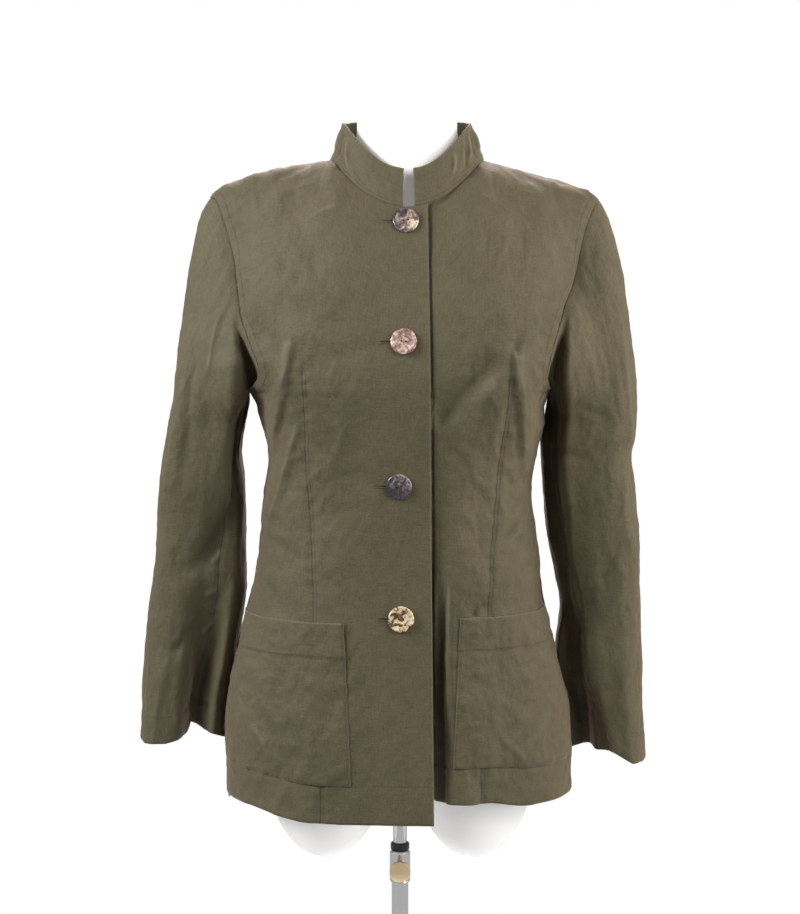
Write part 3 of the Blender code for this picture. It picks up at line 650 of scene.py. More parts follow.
@dataclass
class ClothGrid:
    """Points on the outer face of a panel with its weave map and its distances from seams."""

    points: Grid
    weave: Grid
    seams: dict[str, Grid] = field(default_factory=dict)
    closed: bool = False

    def normals(self) -> Grid:
        """Unit normals of the grid, outward.

        Returns:
            One normal for each point.
        """
        points = self.points
        if self.closed:
            points = np.concatenate([points[:, -2:-1], points, points[:, 1:2]], axis=1)
        normal = np.cross(np.gradient(points, axis=1), np.gradient(points, axis=0))
        normal /= np.maximum(np.linalg.norm(normal, axis=-1, keepdims=True), 1e-12)
        return normal[:, 1:-1] if self.closed else normal

    def push(self, heights: Grid, folds: Grid | None = None) -> None:
        """Move the points out along the normals, and note where the folds among the heights are sharp.

        Args:
            heights: How far out.
            folds: Heights of the folds among them.
        """
        if folds is not None:
            self.seams["crest"] = self.crest(folds)
        self.points = self.points + self.normals() * heights[..., None]

    def crest(self, heights: Grid, sharp: float = 170.0) -> Grid:
        """Share of a crisp bend: 1 on the ridge of a fold, -1 in a trough; the cloth paints highlights and
        shade from it.

        Args:
            heights: Heights of the folds.
            sharp: Bend that counts as crisp.

        Returns:
            The shares.
        """
        bend = np.zeros_like(heights)
        for axis in (0, 1):
            step = np.maximum(np.linalg.norm(np.gradient(self.points, axis=axis), axis=-1), 0.0006)
            bend -= np.gradient(np.gradient(heights, axis=axis) / step, axis=axis) / step
        return np.tanh(bend / sharp)

    def line(
        self, seam: str, offset: float, by_rows: bool, z_range: tuple[float, float], last: bool = False
    ) -> Grid:
        """Points just above the cloth where a seam distance has a value.

        Args:
            seam: Name of the distances.
            offset: The value followed.
            by_rows: Whether one point is sought in each row, else in each column.
            z_range: Heights that are kept.
            last: Whether the last place in a row is taken, not the first.

        Returns:
            The points in order.
        """
        lifted = self.points + self.normals() * 0.00012
        value = self.seams[seam] - offset
        if not by_rows:
            lifted, value = lifted.swapaxes(0, 1), value.T
        found = []
        for points, values in zip(lifted, value):
            hits = np.nonzero((values[:-1] * values[1:] < 0) & (np.abs(values[:-1] - values[1:]) < 0.02))[0]
            if len(hits):
                k = hits[-1 if last else 0]
                t = values[k] / (values[k] - values[k + 1])
                at = points[k] * (1 - t) + points[k + 1] * t
                if z_range[0] <= at[2] <= z_range[1]:
                    found.append(at)
        return np.array(found)

    def spot(self, x: float, z: float) -> tuple[Vector, Vector]:
        """Point and normal of the grid nearest to a place seen from the front.

        Args:
            x: Sideways place.
            z: Height.

        Returns:
            The point and its normal.
        """
        gap = (self.points[..., 0] - x) ** 2 + (self.points[..., 2] - z) ** 2
        i, j = np.unravel_index(np.argmin(gap), gap.shape)
        normal = self.normals()[i, j]
        at = self.points[i, j].copy()
        aside = np.array([x - at[0], 0.0, z - at[2]])
        aside[1] = -(aside[0] * normal[0] + aside[2] * normal[2]) / normal[1]
        return Vector(at + aside), Vector(normal)


class NodeMaker:
    """Short calls for building a node tree."""

    def __init__(self, tree: NodeTree) -> None:
        """Work on a tree."""
        self.tree = tree

    def add(self, kind: str, feeds: dict | None = None, **settings: object) -> Node:
        """Add a node.

        Args:
            kind: Its type.
            feeds: Values or sockets for its inputs, by name or number.
            settings: Its properties.

        Returns:
            The node.
        """
        node = self.tree.nodes.new(kind)
        for name, value in settings.items():
            setattr(node, name, value)
        self.fill(node, feeds or {})
        return node

    def feed(self, socket: NodeSocket, value: object) -> None:
        """Link a socket from another one, or set its value.

        Args:
            socket: An input.
            value: The other socket or the value.
        """
        if isinstance(value, NodeSocket):
            self.tree.links.new(value, socket)
        else:
            socket.default_value = value

    def fill(self, node: Node, feeds: dict) -> None:
        """Feed inputs of a node, by name or number."""
        for key, value in feeds.items():
            self.feed(node.inputs[key], value)

    def math(self, operation: str, *values: object) -> NodeSocket:
        """A Math node on up to three values."""
        return self.add("ShaderNodeMath", dict(enumerate(values)), operation=operation).outputs[0]

    def mix(self, share: object, first: object, second: object) -> NodeSocket:
        """A colour between two colours."""
        return self.add("ShaderNodeMix", {0: share, 6: first, 7: second}, data_type="RGBA").outputs[2]

    def scaled(self, vector: object, scale: Triple) -> NodeSocket:
        """A vector times a fixed scale."""
        return self.add("ShaderNodeVectorMath", {0: vector, 1: scale}, operation="MULTIPLY").outputs[0]

    def noise(self, vector: object, scale: float, detail: float = 2.0, bend: float = 0.0) -> NodeSocket:
        """Values of a noise texture."""
        feeds = {"Vector": vector, "Scale": scale, "Detail": detail, "Distortion": bend}
        return self.add("ShaderNodeTexNoise", feeds).outputs["Fac"]

    def fit(self, value: object, low: float, high: float, start: float, end: float) -> NodeSocket:
        """A value moved softly from one range to another."""
        feeds = dict(enumerate((value, low, high, start, end)))
        return self.add("ShaderNodeMapRange", feeds, interpolation_type="SMOOTHSTEP").outputs[0]

    def bump(self, height: object, strength: float, distance: float, under: object = None) -> NodeSocket:
        """A normal bent by a height.

        Args:
            height: The height.
            strength: Share of the bend.
            distance: Size of a height of 1.
            under: Normal to start from.

        Returns:
            The normal.
        """
        feeds = {"Height": height, "Strength": strength, "Distance": distance}
        if under is not None:
            feeds["Normal"] = under
        return self.add("ShaderNodeBump", feeds).outputs["Normal"]

    def read(self, attribute: str) -> NodeSocket:
        """Values of a mesh attribute."""
        return self.add("ShaderNodeAttribute", attribute_name=attribute).outputs["Fac"]

    def group(self, tree: NodeTree, **feeds: object) -> Node:
        """Add a node for a shader group, with values or sockets by input name."""
        return self.add("ShaderNodeGroup", feeds, node_tree=tree)

    def place(self) -> NodeSocket:
        """Object coordinates."""
        return self.add("ShaderNodeTexCoord").outputs["Object"]


def new_group(name: str, inputs: dict[str, str], outputs: tuple[str, ...]) -> tuple[NodeMaker, dict, dict]:
    """Start a shader node group.

    Args:
        name: Name of the group.
        inputs: Socket kinds by name.
        outputs: Names of the values that it puts out.

    Returns:
        A maker for its tree, its input sockets by name and its output sockets by name.
    """
    tree = bpy.data.node_groups.new(name, "ShaderNodeTree")
    for label, kind in inputs.items():
        tree.interface.new_socket(label, in_out="INPUT", socket_type=kind)
    for label in outputs:
        tree.interface.new_socket(label, in_out="OUTPUT", socket_type="NodeSocketFloat")
    maker = NodeMaker(tree)
    start, end = maker.add("NodeGroupInput"), maker.add("NodeGroupOutput")
    given = {label: start.outputs[label] for label in inputs}
    return maker, given, {label: end.inputs[label] for label in outputs}


@cache
def plain_weave() -> NodeTree:
    """Group: height and tone of a plain weave with uneven yarns, on a map in metres.

    Returns:
        The group.
    """
    maker, given, out = new_group(
        "plain_weave", {"Map": "NodeSocketVector", "Threads": "NodeSocketFloat"}, ("Height", "Tone")
    )
    parts = maker.add("ShaderNodeSeparateXYZ", {0: given["Map"]})
    over = maker.math("SINE", maker.math("MULTIPLY", parts.outputs[0], given["Threads"]))
    under = maker.math("SINE", maker.math("MULTIPLY", parts.outputs[1], given["Threads"]))
    maker.feed(out["Height"], maker.math("MULTIPLY_ADD", maker.math("MULTIPLY", over, under), 0.5, 0.5))
    warp = maker.noise(maker.scaled(given["Map"], (900.0, 90.0, 1.0)), 1.0, 2.0)
    weft = maker.noise(maker.scaled(given["Map"], (90.0, 900.0, 1.0)), 1.0, 2.0)
    slub = maker.noise(given["Map"], 620.0, 2.0)
    yarns = maker.math("MULTIPLY", maker.math("ADD", warp, weft), 0.3)
    maker.feed(out["Tone"], maker.math("MULTIPLY_ADD", slub, 0.4, yarns))
    return maker.tree


@cache
def used_cloth() -> NodeTree:
    """Group: wide uneven fading and fine wrinkles of washed cloth.

    Returns:
        The group.
    """
    maker, given, out = new_group("used_cloth", {"Map": "NodeSocketVector"}, ("Fade", "Wrinkle"))
    wide = maker.noise(given["Map"], 9.0, 3.0)
    small = maker.noise(given["Map"], 60.0, 3.0)
    fade = maker.math("ADD", maker.math("MULTIPLY", wide, 0.6), maker.math("MULTIPLY", small, 0.4))
    maker.feed(out["Fade"], fade)
    maker.feed(out["Wrinkle"], maker.noise(maker.scaled(given["Map"], (1.0, 0.6, 1.0)), 130.0, 4.0, 0.6))
    return maker.tree


@cache
def seam_line() -> NodeTree:
    """Group: mask of a thin line where a distance is near nothing.

    Returns:
        The group.
    """
    maker, given, out = new_group(
        "seam_line", {"Distance": "NodeSocketFloat", "Width": "NodeSocketFloat"}, ("Mask",)
    )
    away = maker.math("ABSOLUTE", given["Distance"])
    maker.feed(out["Mask"], maker.fit(away, 0.0, given["Width"], 1.0, 0.0))
    return maker.tree


@cache
def marble() -> NodeTree:
    """Group: clouded shell with fine growth bands.

    Returns:
        The group.
    """
    maker, given, out = new_group("marble", {"Map": "NodeSocketVector"}, ("Cloud", "Band"))
    maker.feed(out["Cloud"], maker.noise(given["Map"], 125.0, 3.0, 1.2))
    maker.feed(out["Band"], maker.noise(maker.scaled(given["Map"], (1.0, 1.0, 1.6)), 720.0, 3.0, 1.0))
    return maker.tree


@cache
def smudges() -> NodeTree:
    """Group: faint uneven marks on a smooth hard surface.

    Returns:
        The group.
    """
    maker, given, out = new_group("smudges", {"Map": "NodeSocketVector"}, ("Mark", "Grain"))
    maker.feed(out["Mark"], maker.noise(given["Map"], 22.0, 5.0, 0.4))
    maker.feed(out["Grain"], maker.noise(maker.scaled(given["Map"], (1.0, 1.0, 0.05)), 900.0, 2.0))
    return maker.tree


def new_material(name: str) -> tuple[Material, NodeMaker, Node]:
    """A material with a Principled shader, its maker and the shader.

    Args:
        name: Name of the material.

    Returns:
        The material, a maker for its tree and its shader.
    """
    made = bpy.data.materials.new(name)
    made.use_nodes = True
    maker = NodeMaker(made.node_tree)
    return made, maker, made.node_tree.nodes["Principled BSDF"]


def colour(*values: float) -> tuple[float, float, float, float]:
    """A linear colour with full alpha."""
    return (values[0], values[1], values[2], 1.0)


@dataclass(frozen=True)
class ClothFinish:
    """Plain-weave cotton: darker seam lines, rubbed edges, painted highlights on fold crests, painted shade
    in troughs.
    """

    name: str = "olive_cotton"
    dark: Triple = (0.0745, 0.0645, 0.0345)
    light: Triple = (0.1210, 0.1040, 0.0590)
    # Colour of the rubbed edges, also used to paint highlights on the crests of folds
    wear_and_sheen: Triple = (0.205, 0.178, 0.118)
    # Colour of the dark seam lines, also used to paint shade in the troughs of folds
    line: Triple = (0.030, 0.025, 0.014)
    threads: float = 9000.0
    roughness: float = 0.74

    def build(self) -> Material:
        """Make the material.

        Returns:
            The material.
        """
        made, maker, shader = new_material(self.name)
        cut = maker.add("ShaderNodeUVMap", uv_map="weave").outputs[0]
        place = maker.place()
        weave = maker.group(plain_weave(), Map=cut, Threads=self.threads)
        used = maker.group(used_cloth(), Map=place)
        tone = maker.math("ADD", maker.math("MULTIPLY", weave.outputs["Tone"], 0.72),
                          maker.math("MULTIPLY", used.outputs["Fade"], 0.28))
        base = maker.mix(maker.fit(tone, 0.36, 0.64, 0.0, 1.0), colour(*self.dark), colour(*self.light))
        lines = self.lines(maker)
        edge = maker.read("edge")
        rub = maker.math("MULTIPLY", maker.fit(edge, 0.0, 0.0022, 0.55, 0.0), used.outputs["Wrinkle"])
        base = maker.mix(rub, base, colour(*self.wear_and_sheen))
        # Painted highlight on the crests of sharp folds and painted shade in their troughs, from the crest
        # share
        crest = maker.read("crest")
        base = maker.mix(maker.fit(crest, 0.1, 1.0, 0.0, 0.55), base, colour(*self.wear_and_sheen))
        base = maker.mix(maker.fit(crest, -0.1, -1.0, 0.0, 0.36), base, colour(*self.line))
        base = maker.mix(maker.math("MULTIPLY", lines, 0.85), base, colour(*self.line))
        rough = maker.math("MULTIPLY_ADD", weave.outputs["Tone"], 0.12, self.roughness - 0.06)
        normal = maker.bump(weave.outputs["Height"], 0.30, 0.00012)
        normal = maker.bump(used.outputs["Wrinkle"], 0.55, 0.0015, normal)
        normal = maker.bump(maker.math("MULTIPLY", lines, -1.0), 0.6, 0.0005, normal)
        maker.fill(shader, {"Base Color": base, "Roughness": rough, "Normal": normal})
        maker.fill(shader, {"Sheen Weight": 0.42, "Sheen Roughness": 0.36, "Specular IOR Level": 0.30})
        maker.fill(shader, {"Sheen Tint": colour(1.0, 0.74, 0.62)})
        return made

    def lines(self, maker: NodeMaker) -> NodeSocket:
        """Mask of the seam lines and of the stitch lines beside them.

        Args:
            maker: Maker of the tree.

        Returns:
            The mask.
        """
        total = None
        for name, offset, width, strength in (
            ("dart", 0.0, 0.0011, 0.75),
            ("dart", 0.0032, 0.0007, 0.40),
            ("hem", 0.0, 0.0008, 0.50),
            ("stitch", 0.0, 0.0008, 0.40),
        ):
            moved = maker.math("SUBTRACT", maker.read(name), offset)
            mask = maker.group(seam_line(), Distance=moved, Width=width).outputs["Mask"]
            mask = maker.math("MULTIPLY", mask, strength)
            total = mask if total is None else maker.math("MAXIMUM", total, mask)
        return total


@dataclass(frozen=True)
class ThreadFinish:
    """Sewing thread."""

    name: str
    tint: Triple
    roughness: float = 0.6

    def build(self) -> Material:
        """Make the material.

        Returns:
            The material.
        """
        made, maker, shader = new_material(self.name)
        place = maker.place()
        twist = maker.noise(place, 700.0, 2.0)
        darker = tuple(0.7 * value for value in self.tint)
        base = maker.mix(twist, colour(*darker), colour(*self.tint))
        maker.fill(shader, {"Base Color": base, "Roughness": self.roughness})
        return made


@dataclass(frozen=True)
class ShellFinish:
    """Polished marbled shell; the colours run from the dark clouds to the pale ones."""

    name: str
    slot: Slot
    colours: tuple[Triple, ...]
    stops: tuple[float, ...]
    shift: Triple
    lean: tuple[float, float] = (0.0, 0.0)
    cloud: float = 0.68

    def build(self, centre: Vector) -> Material:
        """Make the material of a button with its middle at a place.

        Args:
            centre: Middle of the button.

        Returns:
            The material.
        """
        made, maker, shader = new_material(self.name)
        place = maker.place()
        centred = maker.add("ShaderNodeVectorMath", {0: place, 1: centre}, operation="SUBTRACT").outputs[0]
        move = maker.add("ShaderNodeMapping", {"Location": self.shift, "Vector": centred})
        clouds = maker.group(marble(), Map=move.outputs[0])
        lean = (self.lean[0], 0.0, self.lean[1])
        side = maker.add("ShaderNodeVectorMath", {0: centred, 1: lean}, operation="DOT_PRODUCT")
        both = maker.math("MULTIPLY_ADD", clouds.outputs["Cloud"], self.cloud, side.outputs["Value"])
        both = maker.math("MULTIPLY_ADD", clouds.outputs["Band"], 1.0 - self.cloud, both)
        ramp = maker.add("ShaderNodeValToRGB")
        while len(ramp.color_ramp.elements) < len(self.colours):
            ramp.color_ramp.elements.new(0.5)
        for element, stop, tint in zip(ramp.color_ramp.elements, self.stops, self.colours):
            element.position = stop
            element.color = colour(*tint)
        maker.feed(ramp.inputs[0], both)
        rough = maker.math("MULTIPLY_ADD", clouds.outputs["Band"], 0.12, 0.16)
        maker.fill(shader, {"Base Color": ramp.outputs[0], "Roughness": rough})
        maker.fill(shader, {"Coat Weight": 0.5, "Coat Roughness": 0.12})
        return made


@dataclass(frozen=True)
class SmoothFinish:
    """A smooth hard finish with faint smudges: the form's skin, chrome or the black ring, with an optional
    painted glow.
    """

    name: str
    tint: Triple
    metallic: float
    roughness: float
    unevenness: float = 0.06
    grain: float = 0.0
    painted_glow: float = 0.0

    def build(self) -> Material:
        """Make the material.

        Returns:
            The material.
        """
        made, maker, shader = new_material(self.name)
        place = maker.place()
        marks = maker.group(smudges(), Map=place)
        darker = tuple(0.93 * value for value in self.tint)
        base = maker.mix(marks.outputs["Mark"], colour(*darker), colour(*self.tint))
        start = max(self.roughness - self.unevenness, 0.02)
        rough = maker.math("MULTIPLY_ADD", marks.outputs["Mark"], 2 * self.unevenness, start)
        maker.fill(shader, {"Base Color": base, "Roughness": rough, "Metallic": self.metallic})
        # Painted glow: the surface gives off light in its own colour, so it looks brighter than the lamps
        # make it
        maker.fill(shader, {"Emission Color": colour(*self.tint), "Emission Strength": self.painted_glow})
        if self.grain:
            maker.feed(shader.inputs["Normal"], maker.bump(marks.outputs["Grain"], self.grain, 0.0002))
        return made


def link(item: Object) -> Object:
    """Put an object into the scene."""
    bpy.context.scene.collection.objects.link(item)
    return item


def plain_copy(item: Object) -> Object:
    """Replace an object by a plain mesh with its modifiers worked in.

    Args:
        item: The object.

    Returns:
        The same object.
    """
    bpy.context.view_layer.update()
    graph = bpy.context.evaluated_depsgraph_get()
    mesh = bpy.data.meshes.new_from_object(item.evaluated_get(graph))
    old = item.data
    item.modifiers.clear()
    item.data = mesh
    bpy.data.meshes.remove(old)
    mesh.name = item.name
    return item


def shade(mesh: Mesh, angle: float = 180.0) -> None:
    """Smooth shading up to an edge angle in degrees.

    Args:
        mesh: The mesh.
        angle: Edges past this stay sharp.
    """
    mesh.polygons.foreach_set("use_smooth", [True] * len(mesh.polygons))
    if angle < 180.0:
        mesh.set_sharp_from_angle(angle=math.radians(angle))
    mesh.update()


def declare(item: Object, body: Body, node: str | None = None) -> None:
    """State what a piece moves with and the node that it stands for.

    Args:
        item: The piece.
        body: Body that it moves with.
        node: Node of the part that it stands for.
    """
    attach(item, body.value)
    if node:
        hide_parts(node)
    LOG.info("%s: %d faces on %s", item.name, len(item.data.polygons), body.value)


def cloth_object(name: str, grid: ClothGrid, wall: float, finish: Material) -> Object:
    """A cloth piece from its grid, thickened inwards.

    Args:
        name: Name of the piece.
        grid: Points, weave map and seam distances.
        wall: Thickness of the cloth.
        finish: Its material.

    Returns:
        The piece as a plain mesh.
    """
    rows, columns = grid.points.shape[:2]
    used = columns - 1 if grid.closed else columns
    index = np.arange(rows * used).reshape(rows, used)
    if grid.closed:
        index = np.concatenate([index, index[:, :1]], axis=1)

    def corners(values: Grid) -> Grid:
        """Values at the four corners of each quad."""
        return np.stack([values[:-1, :-1], values[:-1, 1:], values[1:, 1:], values[1:, :-1]], axis=2)

    mesh = bpy.data.meshes.new(name)
    places = grid.points[:, :used].reshape(-1, 3).tolist()
    mesh.from_pydata(places, [], corners(index).reshape(-1, 4).tolist())
    mesh.uv_layers.new(name="weave").data.foreach_set("uv", corners(grid.weave).reshape(-1))
    for label in ("dart", "hem", "stitch", "edge", "crest"):
        values = grid.seams.get(label, np.full((rows, columns), 0.0 if label == "crest" else FAR))
        layer = mesh.attributes.new(label, "FLOAT", "POINT")
        layer.data.foreach_set("value", np.ascontiguousarray(values[:, :used], dtype=np.float32).reshape(-1))
    shade(mesh)
    mesh.materials.append(finish)
    item = link(bpy.data.objects.new(name, mesh))
    thick = item.modifiers.new("wall", "SOLIDIFY")
    thick.thickness = wall
    thick.offset = -1.0
    return plain_copy(item)


def nearest(points: Grid, edge: Grid) -> tuple[Grid, Grid]:
    """Distance of points from an edge line, and how far along the edge the nearest place is.

    Args:
        points: Rows of points.
        edge: Points of the line.

    Returns:
        Both distances.
    """
    run = run_along(edge)
    gap, along = np.full(points.shape[:2], FAR), np.zeros(points.shape[:2])
    for i, row in enumerate(points):
        if row[:, 2].max() > 0.62:
            away = np.linalg.norm(row[:, None] - edge[None], axis=-1)
            gap[i], along[i] = away.min(axis=1), run[away.argmin(axis=1)]
    return gap, along


@dataclass
class Panel:
    """A cut piece of cloth of the jacket."""

    name: str
    flat: tuple[float, float]
    area: float
    held: Hold = Hold.DRAPED
    rests_on: tuple[str, ...] = ("form_torso",)
    wall: float = CLOTH
    # Each row: seam distance, its value, whether by rows, heights, whether the last place in a row
    stitches: tuple[tuple, ...] = ()
    grid: ClothGrid | None = None

    def lay(self) -> ClothGrid:
        """Points of the piece with its folds."""
        raise NotImplementedError

    def stitch_lines(self) -> list[Grid]:
        """Lines of stitches on the piece."""
        return [self.grid.line(*row) for row in self.stitches]

    def build(self, finish: Material) -> Object:
        """Make the piece and state what it is.

        Args:
            finish: Its material.

        Returns:
            The piece.
        """
        self.grid = self.lay()
        item = cloth_object(self.name, self.grid, self.wall, finish)
        declare(item, Body.FORM, self.name)
        return item


@dataclass
class FrontPanel(Panel):
    """A front with a long dart to the hem; the left one swings back beside the lap."""

    side: Side = Side.RIGHT
    dart: Map = ()
    creases: tuple[Crease, ...] = ()
    seed: int = 1
    rows: tuple[int, int] = (150, 100)
    columns: int = 150
    under_lap: float = -0.020
    shadow_gap: float = 0.0026
    lap: Triple = (0.0265, 0.0289, 0.0325)
    hem_turn: float = HEM_TURN

    def span(self, level: float) -> tuple[float, float]:
        """First and last share of a row.

        Args:
            level: Level of the row.

        Returns:
            The two shares.
        """
        outer = armhole_share(level, False, self.side) - SEAM_INSET
        if self.side is Side.LEFT:
            return JACKET.share_at_x(level, self.under_lap), outer
        top, middle, hem = self.lap
        edge = middle + (top - middle) * level
        if level <= 0:
            edge = hem + (middle - hem) * (1.0 + level / (ARMPIT_Z - HEM_Z))
        return -outer, JACKET.share_at_x(level, edge)

    def lap_edge(self, z: Grid) -> Grid:
        """Sideways place of the over front's edge by height."""
        top, middle, hem = self.lap
        return np.interp(z, (HEM_Z, ARMPIT_Z, 0.893), (hem, middle, top))

    def swing(self, points: Grid) -> Grid:
        """The under front: behind the lap, swung back beside it, its hem a little higher.

        Args:
            points: Points of the front as cut.

        Returns:
            The moved points.
        """
        moved = points.copy()
        x, z = points[..., 0], points[..., 2]
        depth = SWING.at("depth", np.clip(z, HEM_Z, ARMPIT_Z)) * (1.0 - ease(0.62, 0.74, z))
        beside = 1.0 - ease(0.026, 0.052, x)
        lapped = 1.0 - ease(0.0305, 0.1050, x)
        gap = self.shadow_gap * bell(x - self.lap_edge(z) - 0.0010, 0.0013)
        moved[..., 1] += depth * beside + 0.0021 * lapped + gap
        moved[..., 2] -= 0.0007 * lapped * ease(0.80, 0.88, z)
        wave = 0.006 * (1.0 - ease(0.084, 0.125, x)) * (1.0 - ease(HEM_Z, 0.40, z))
        moved[..., 2] += LEFT_LIFT * (1.0 - ease(HEM_Z, 0.62, z)) + wave
        return moved

    def place(self, levels: Grid, shares: Grid, plain: bool = False) -> ClothGrid:
        """The front's outer face with its folds, at rows of shares.

        Args:
            levels: Level of each row.
            shares: Shares across, one row of them per level.
            plain: Whether the dart is left out.

        Returns:
            The grid with its weave map and seam distances.
        """
        points = np.array([JACKET.row(level, u, False) for level, u in zip(levels, shares)])
        if self.side is Side.LEFT:
            points = self.swing(points)
        else:
            low = 1.0 - ease(HEM_Z, 0.44, points[..., 2])
            points[..., 2] += RIGHT_LIFT * low * ease(0.085, 0.165, -points[..., 0])
        cut = flat_height(levels, shares.shape)
        x, z = points[..., 0], points[..., 2]
        gap, along = nearest(points, armhole_edge(self.side, False, 160))
        path = np.array(sorted(self.dart, key=lambda place: place[1]))
        top = 0.0 if plain else path[-1, 1]
        dart = x - np.interp(z, path[:, 1], path[:, 0])
        heights = sewn_edges(self.heights(x, z, cut, gap, along, dart, top), levels, shares, cut)
        edge = cut - HEM_Z
        if self.side is Side.RIGHT:
            ends = np.array([self.span(level)[1] for level in levels])[:, None]
            lap = (ends - shares) * SIDE_LENGTH
            edge = np.minimum(edge, lap)
            loose = 0.0005 + 0.0026 * (1.0 - ease(0.30, 0.54, z)) + 0.0003 * noise(z / 0.07, z / 0.11, 77)
            heights = heights + loose * bell(lap, 0.012)
        seams = {
            "dart": dart * (1.0 + 60.0 * ease(top - 0.002, top + 0.010, z)),
            "hem": cut - HEM_Z - self.hem_turn,
            "stitch": gap - ARMHOLE_STITCH,
            "edge": edge,
        }
        grid = ClothGrid(points, np.stack([shares * SIDE_LENGTH, cut], axis=-1), seams)
        grid.push(heights, crease_sum(self.creases, x, z) + self.shoulder_fan(x, z))
        return grid

    def heights(
        self, x: Grid, z: Grid, cut: Grid, gap: Grid, along: Grid, dart: Grid, top: float
    ) -> Grid:
        """Folds, puckers and seam hollows of the front.

        Args:
            x: Distance sideways.
            z: Height.
            cut: Height on the flat cloth.
            gap: Distance from the armhole.
            along: Distance along the armhole.
            dart: Distance from the dart.
            top: Height of the dart's point.

        Returns:
            Heights out of the cloth.
        """
        calm = 0.3 + 0.7 * ease(0.026, 0.065, np.abs(x))
        total = crease_sum(self.creases, x, z) + crumple(x, z, self.seed, 0.055, 0.0027) * calm
        total += self.shoulder_fan(x, z)
        wave = ripple(along, 0.0115, 2.4, (x, z), 0.03, self.seed + 9)
        total += 0.0015 * wave * np.exp(-gap / 0.012)
        total *= ease(-0.004, 0.014, gap)
        sewn = 1.0 - ease(top - 0.03, top + 0.006, z)
        drawn = ripple(z, 0.013, 2.5, (x, z), 0.02, self.seed + 5)
        total += sewn * seam_hollow(dart, drawn, 0.0013)
        above = cut - HEM_Z
        total += turned_hem(above, self.hem_turn)
        puckers = ripple(x, 0.014, 2.0, (x, z), 0.03, self.seed + 7)
        return total + 0.0003 * puckers * bell(above - self.hem_turn, 0.012) * calm

    def shoulder_fan(self, x: Grid, z: Grid) -> Grid:
        """Small folds that fan out from the neck point along the shoulder.

        Args:
            x: Distance sideways.
            z: Height.

        Returns:
            Heights out of the cloth.
        """
        off_x, off_z = x - self.side.value * 0.070 - NECK_X, z - 0.952
        reach, turn = np.hypot(off_x, off_z), np.arctan2(off_z, np.abs(off_x))
        fan = np.sin(turn * 24.0 + 2.6 * noise(x / 0.026, z / 0.026, self.seed + 11))
        near = bell(reach - 0.060, 0.045) * ease(-1.0, -0.6, turn)
        return 0.0005 * fan * near * ease(0.865, 0.905, z)

    def lay(self) -> ClothGrid:
        """The whole front.

        Returns:
            Its grid.
        """
        levels = row_levels(*self.rows)
        t = np.linspace(0.0, 1.0, self.columns)
        if self.side is Side.LEFT:
            t = t**1.3
        shares = [first + (last - first) * t for first, last in (self.span(level) for level in levels)]
        return self.place(levels, np.array(shares))

    def stitch_lines(self) -> list[Grid]:
        """Stitches beside the dart, along the hem and beside the armhole."""
        top = max(z for _, z in self.dart)
        return [
            self.grid.line("dart", 0.0032, True, (HEM_Z, top - 0.01)),
            self.grid.line("hem", 0.0, False, HEM_HEIGHTS),
            self.grid.line("stitch", 0.0, True, ARMHOLE_HEIGHTS),
        ]


@dataclass
class BackPanel(Panel):
    """One plain back with soft folds over the waist."""

    creases: tuple[Crease, ...] = ()
    rows: tuple[int, int] = (140, 90)
    columns: int = 190
    hem_turn: float = HEM_TURN
    stitches: tuple[tuple, ...] = (
        ("hem", 0.0, False, HEM_HEIGHTS),
        ("stitch", 0.0, True, ARMHOLE_HEIGHTS),
        ("stitch", 0.0, True, ARMHOLE_HEIGHTS, True),
    )

    def lay(self) -> ClothGrid:
        """The whole back.

        Returns:
            Its grid.
        """
        levels = row_levels(*self.rows)
        ends = [armhole_share(level, True) - SEAM_INSET for level in levels]
        shares = np.array([np.linspace(end, -end, self.columns) for end in ends])
        points = np.array([JACKET.row(level, u, True) for level, u in zip(levels, shares)])
        lift = LEFT_LIFT * (1.0 - ease(HEM_Z, 0.62, points[..., 2]))
        points[..., 2] += lift * ease(-0.05, 0.17, points[..., 0])
        cut = flat_height(levels, shares.shape)
        x, z = points[..., 0], points[..., 2]
        gap = np.minimum(*(nearest(points, armhole_edge(side, True, 160))[0] for side in Side))
        heights = crease_sum(self.creases, x, z) + crumple(x, z, 41, 0.06, 0.0020)
        heights = sewn_edges(heights * ease(-0.004, 0.014, gap), levels, shares, cut)
        heights += turned_hem(cut - HEM_Z, self.hem_turn)
        seams = {"hem": cut - HEM_Z - self.hem_turn, "stitch": gap - ARMHOLE_STITCH, "edge": cut - HEM_Z}
        grid = ClothGrid(points, np.stack([-shares * SIDE_LENGTH, cut], axis=-1), seams)
        grid.push(heights)
        return grid


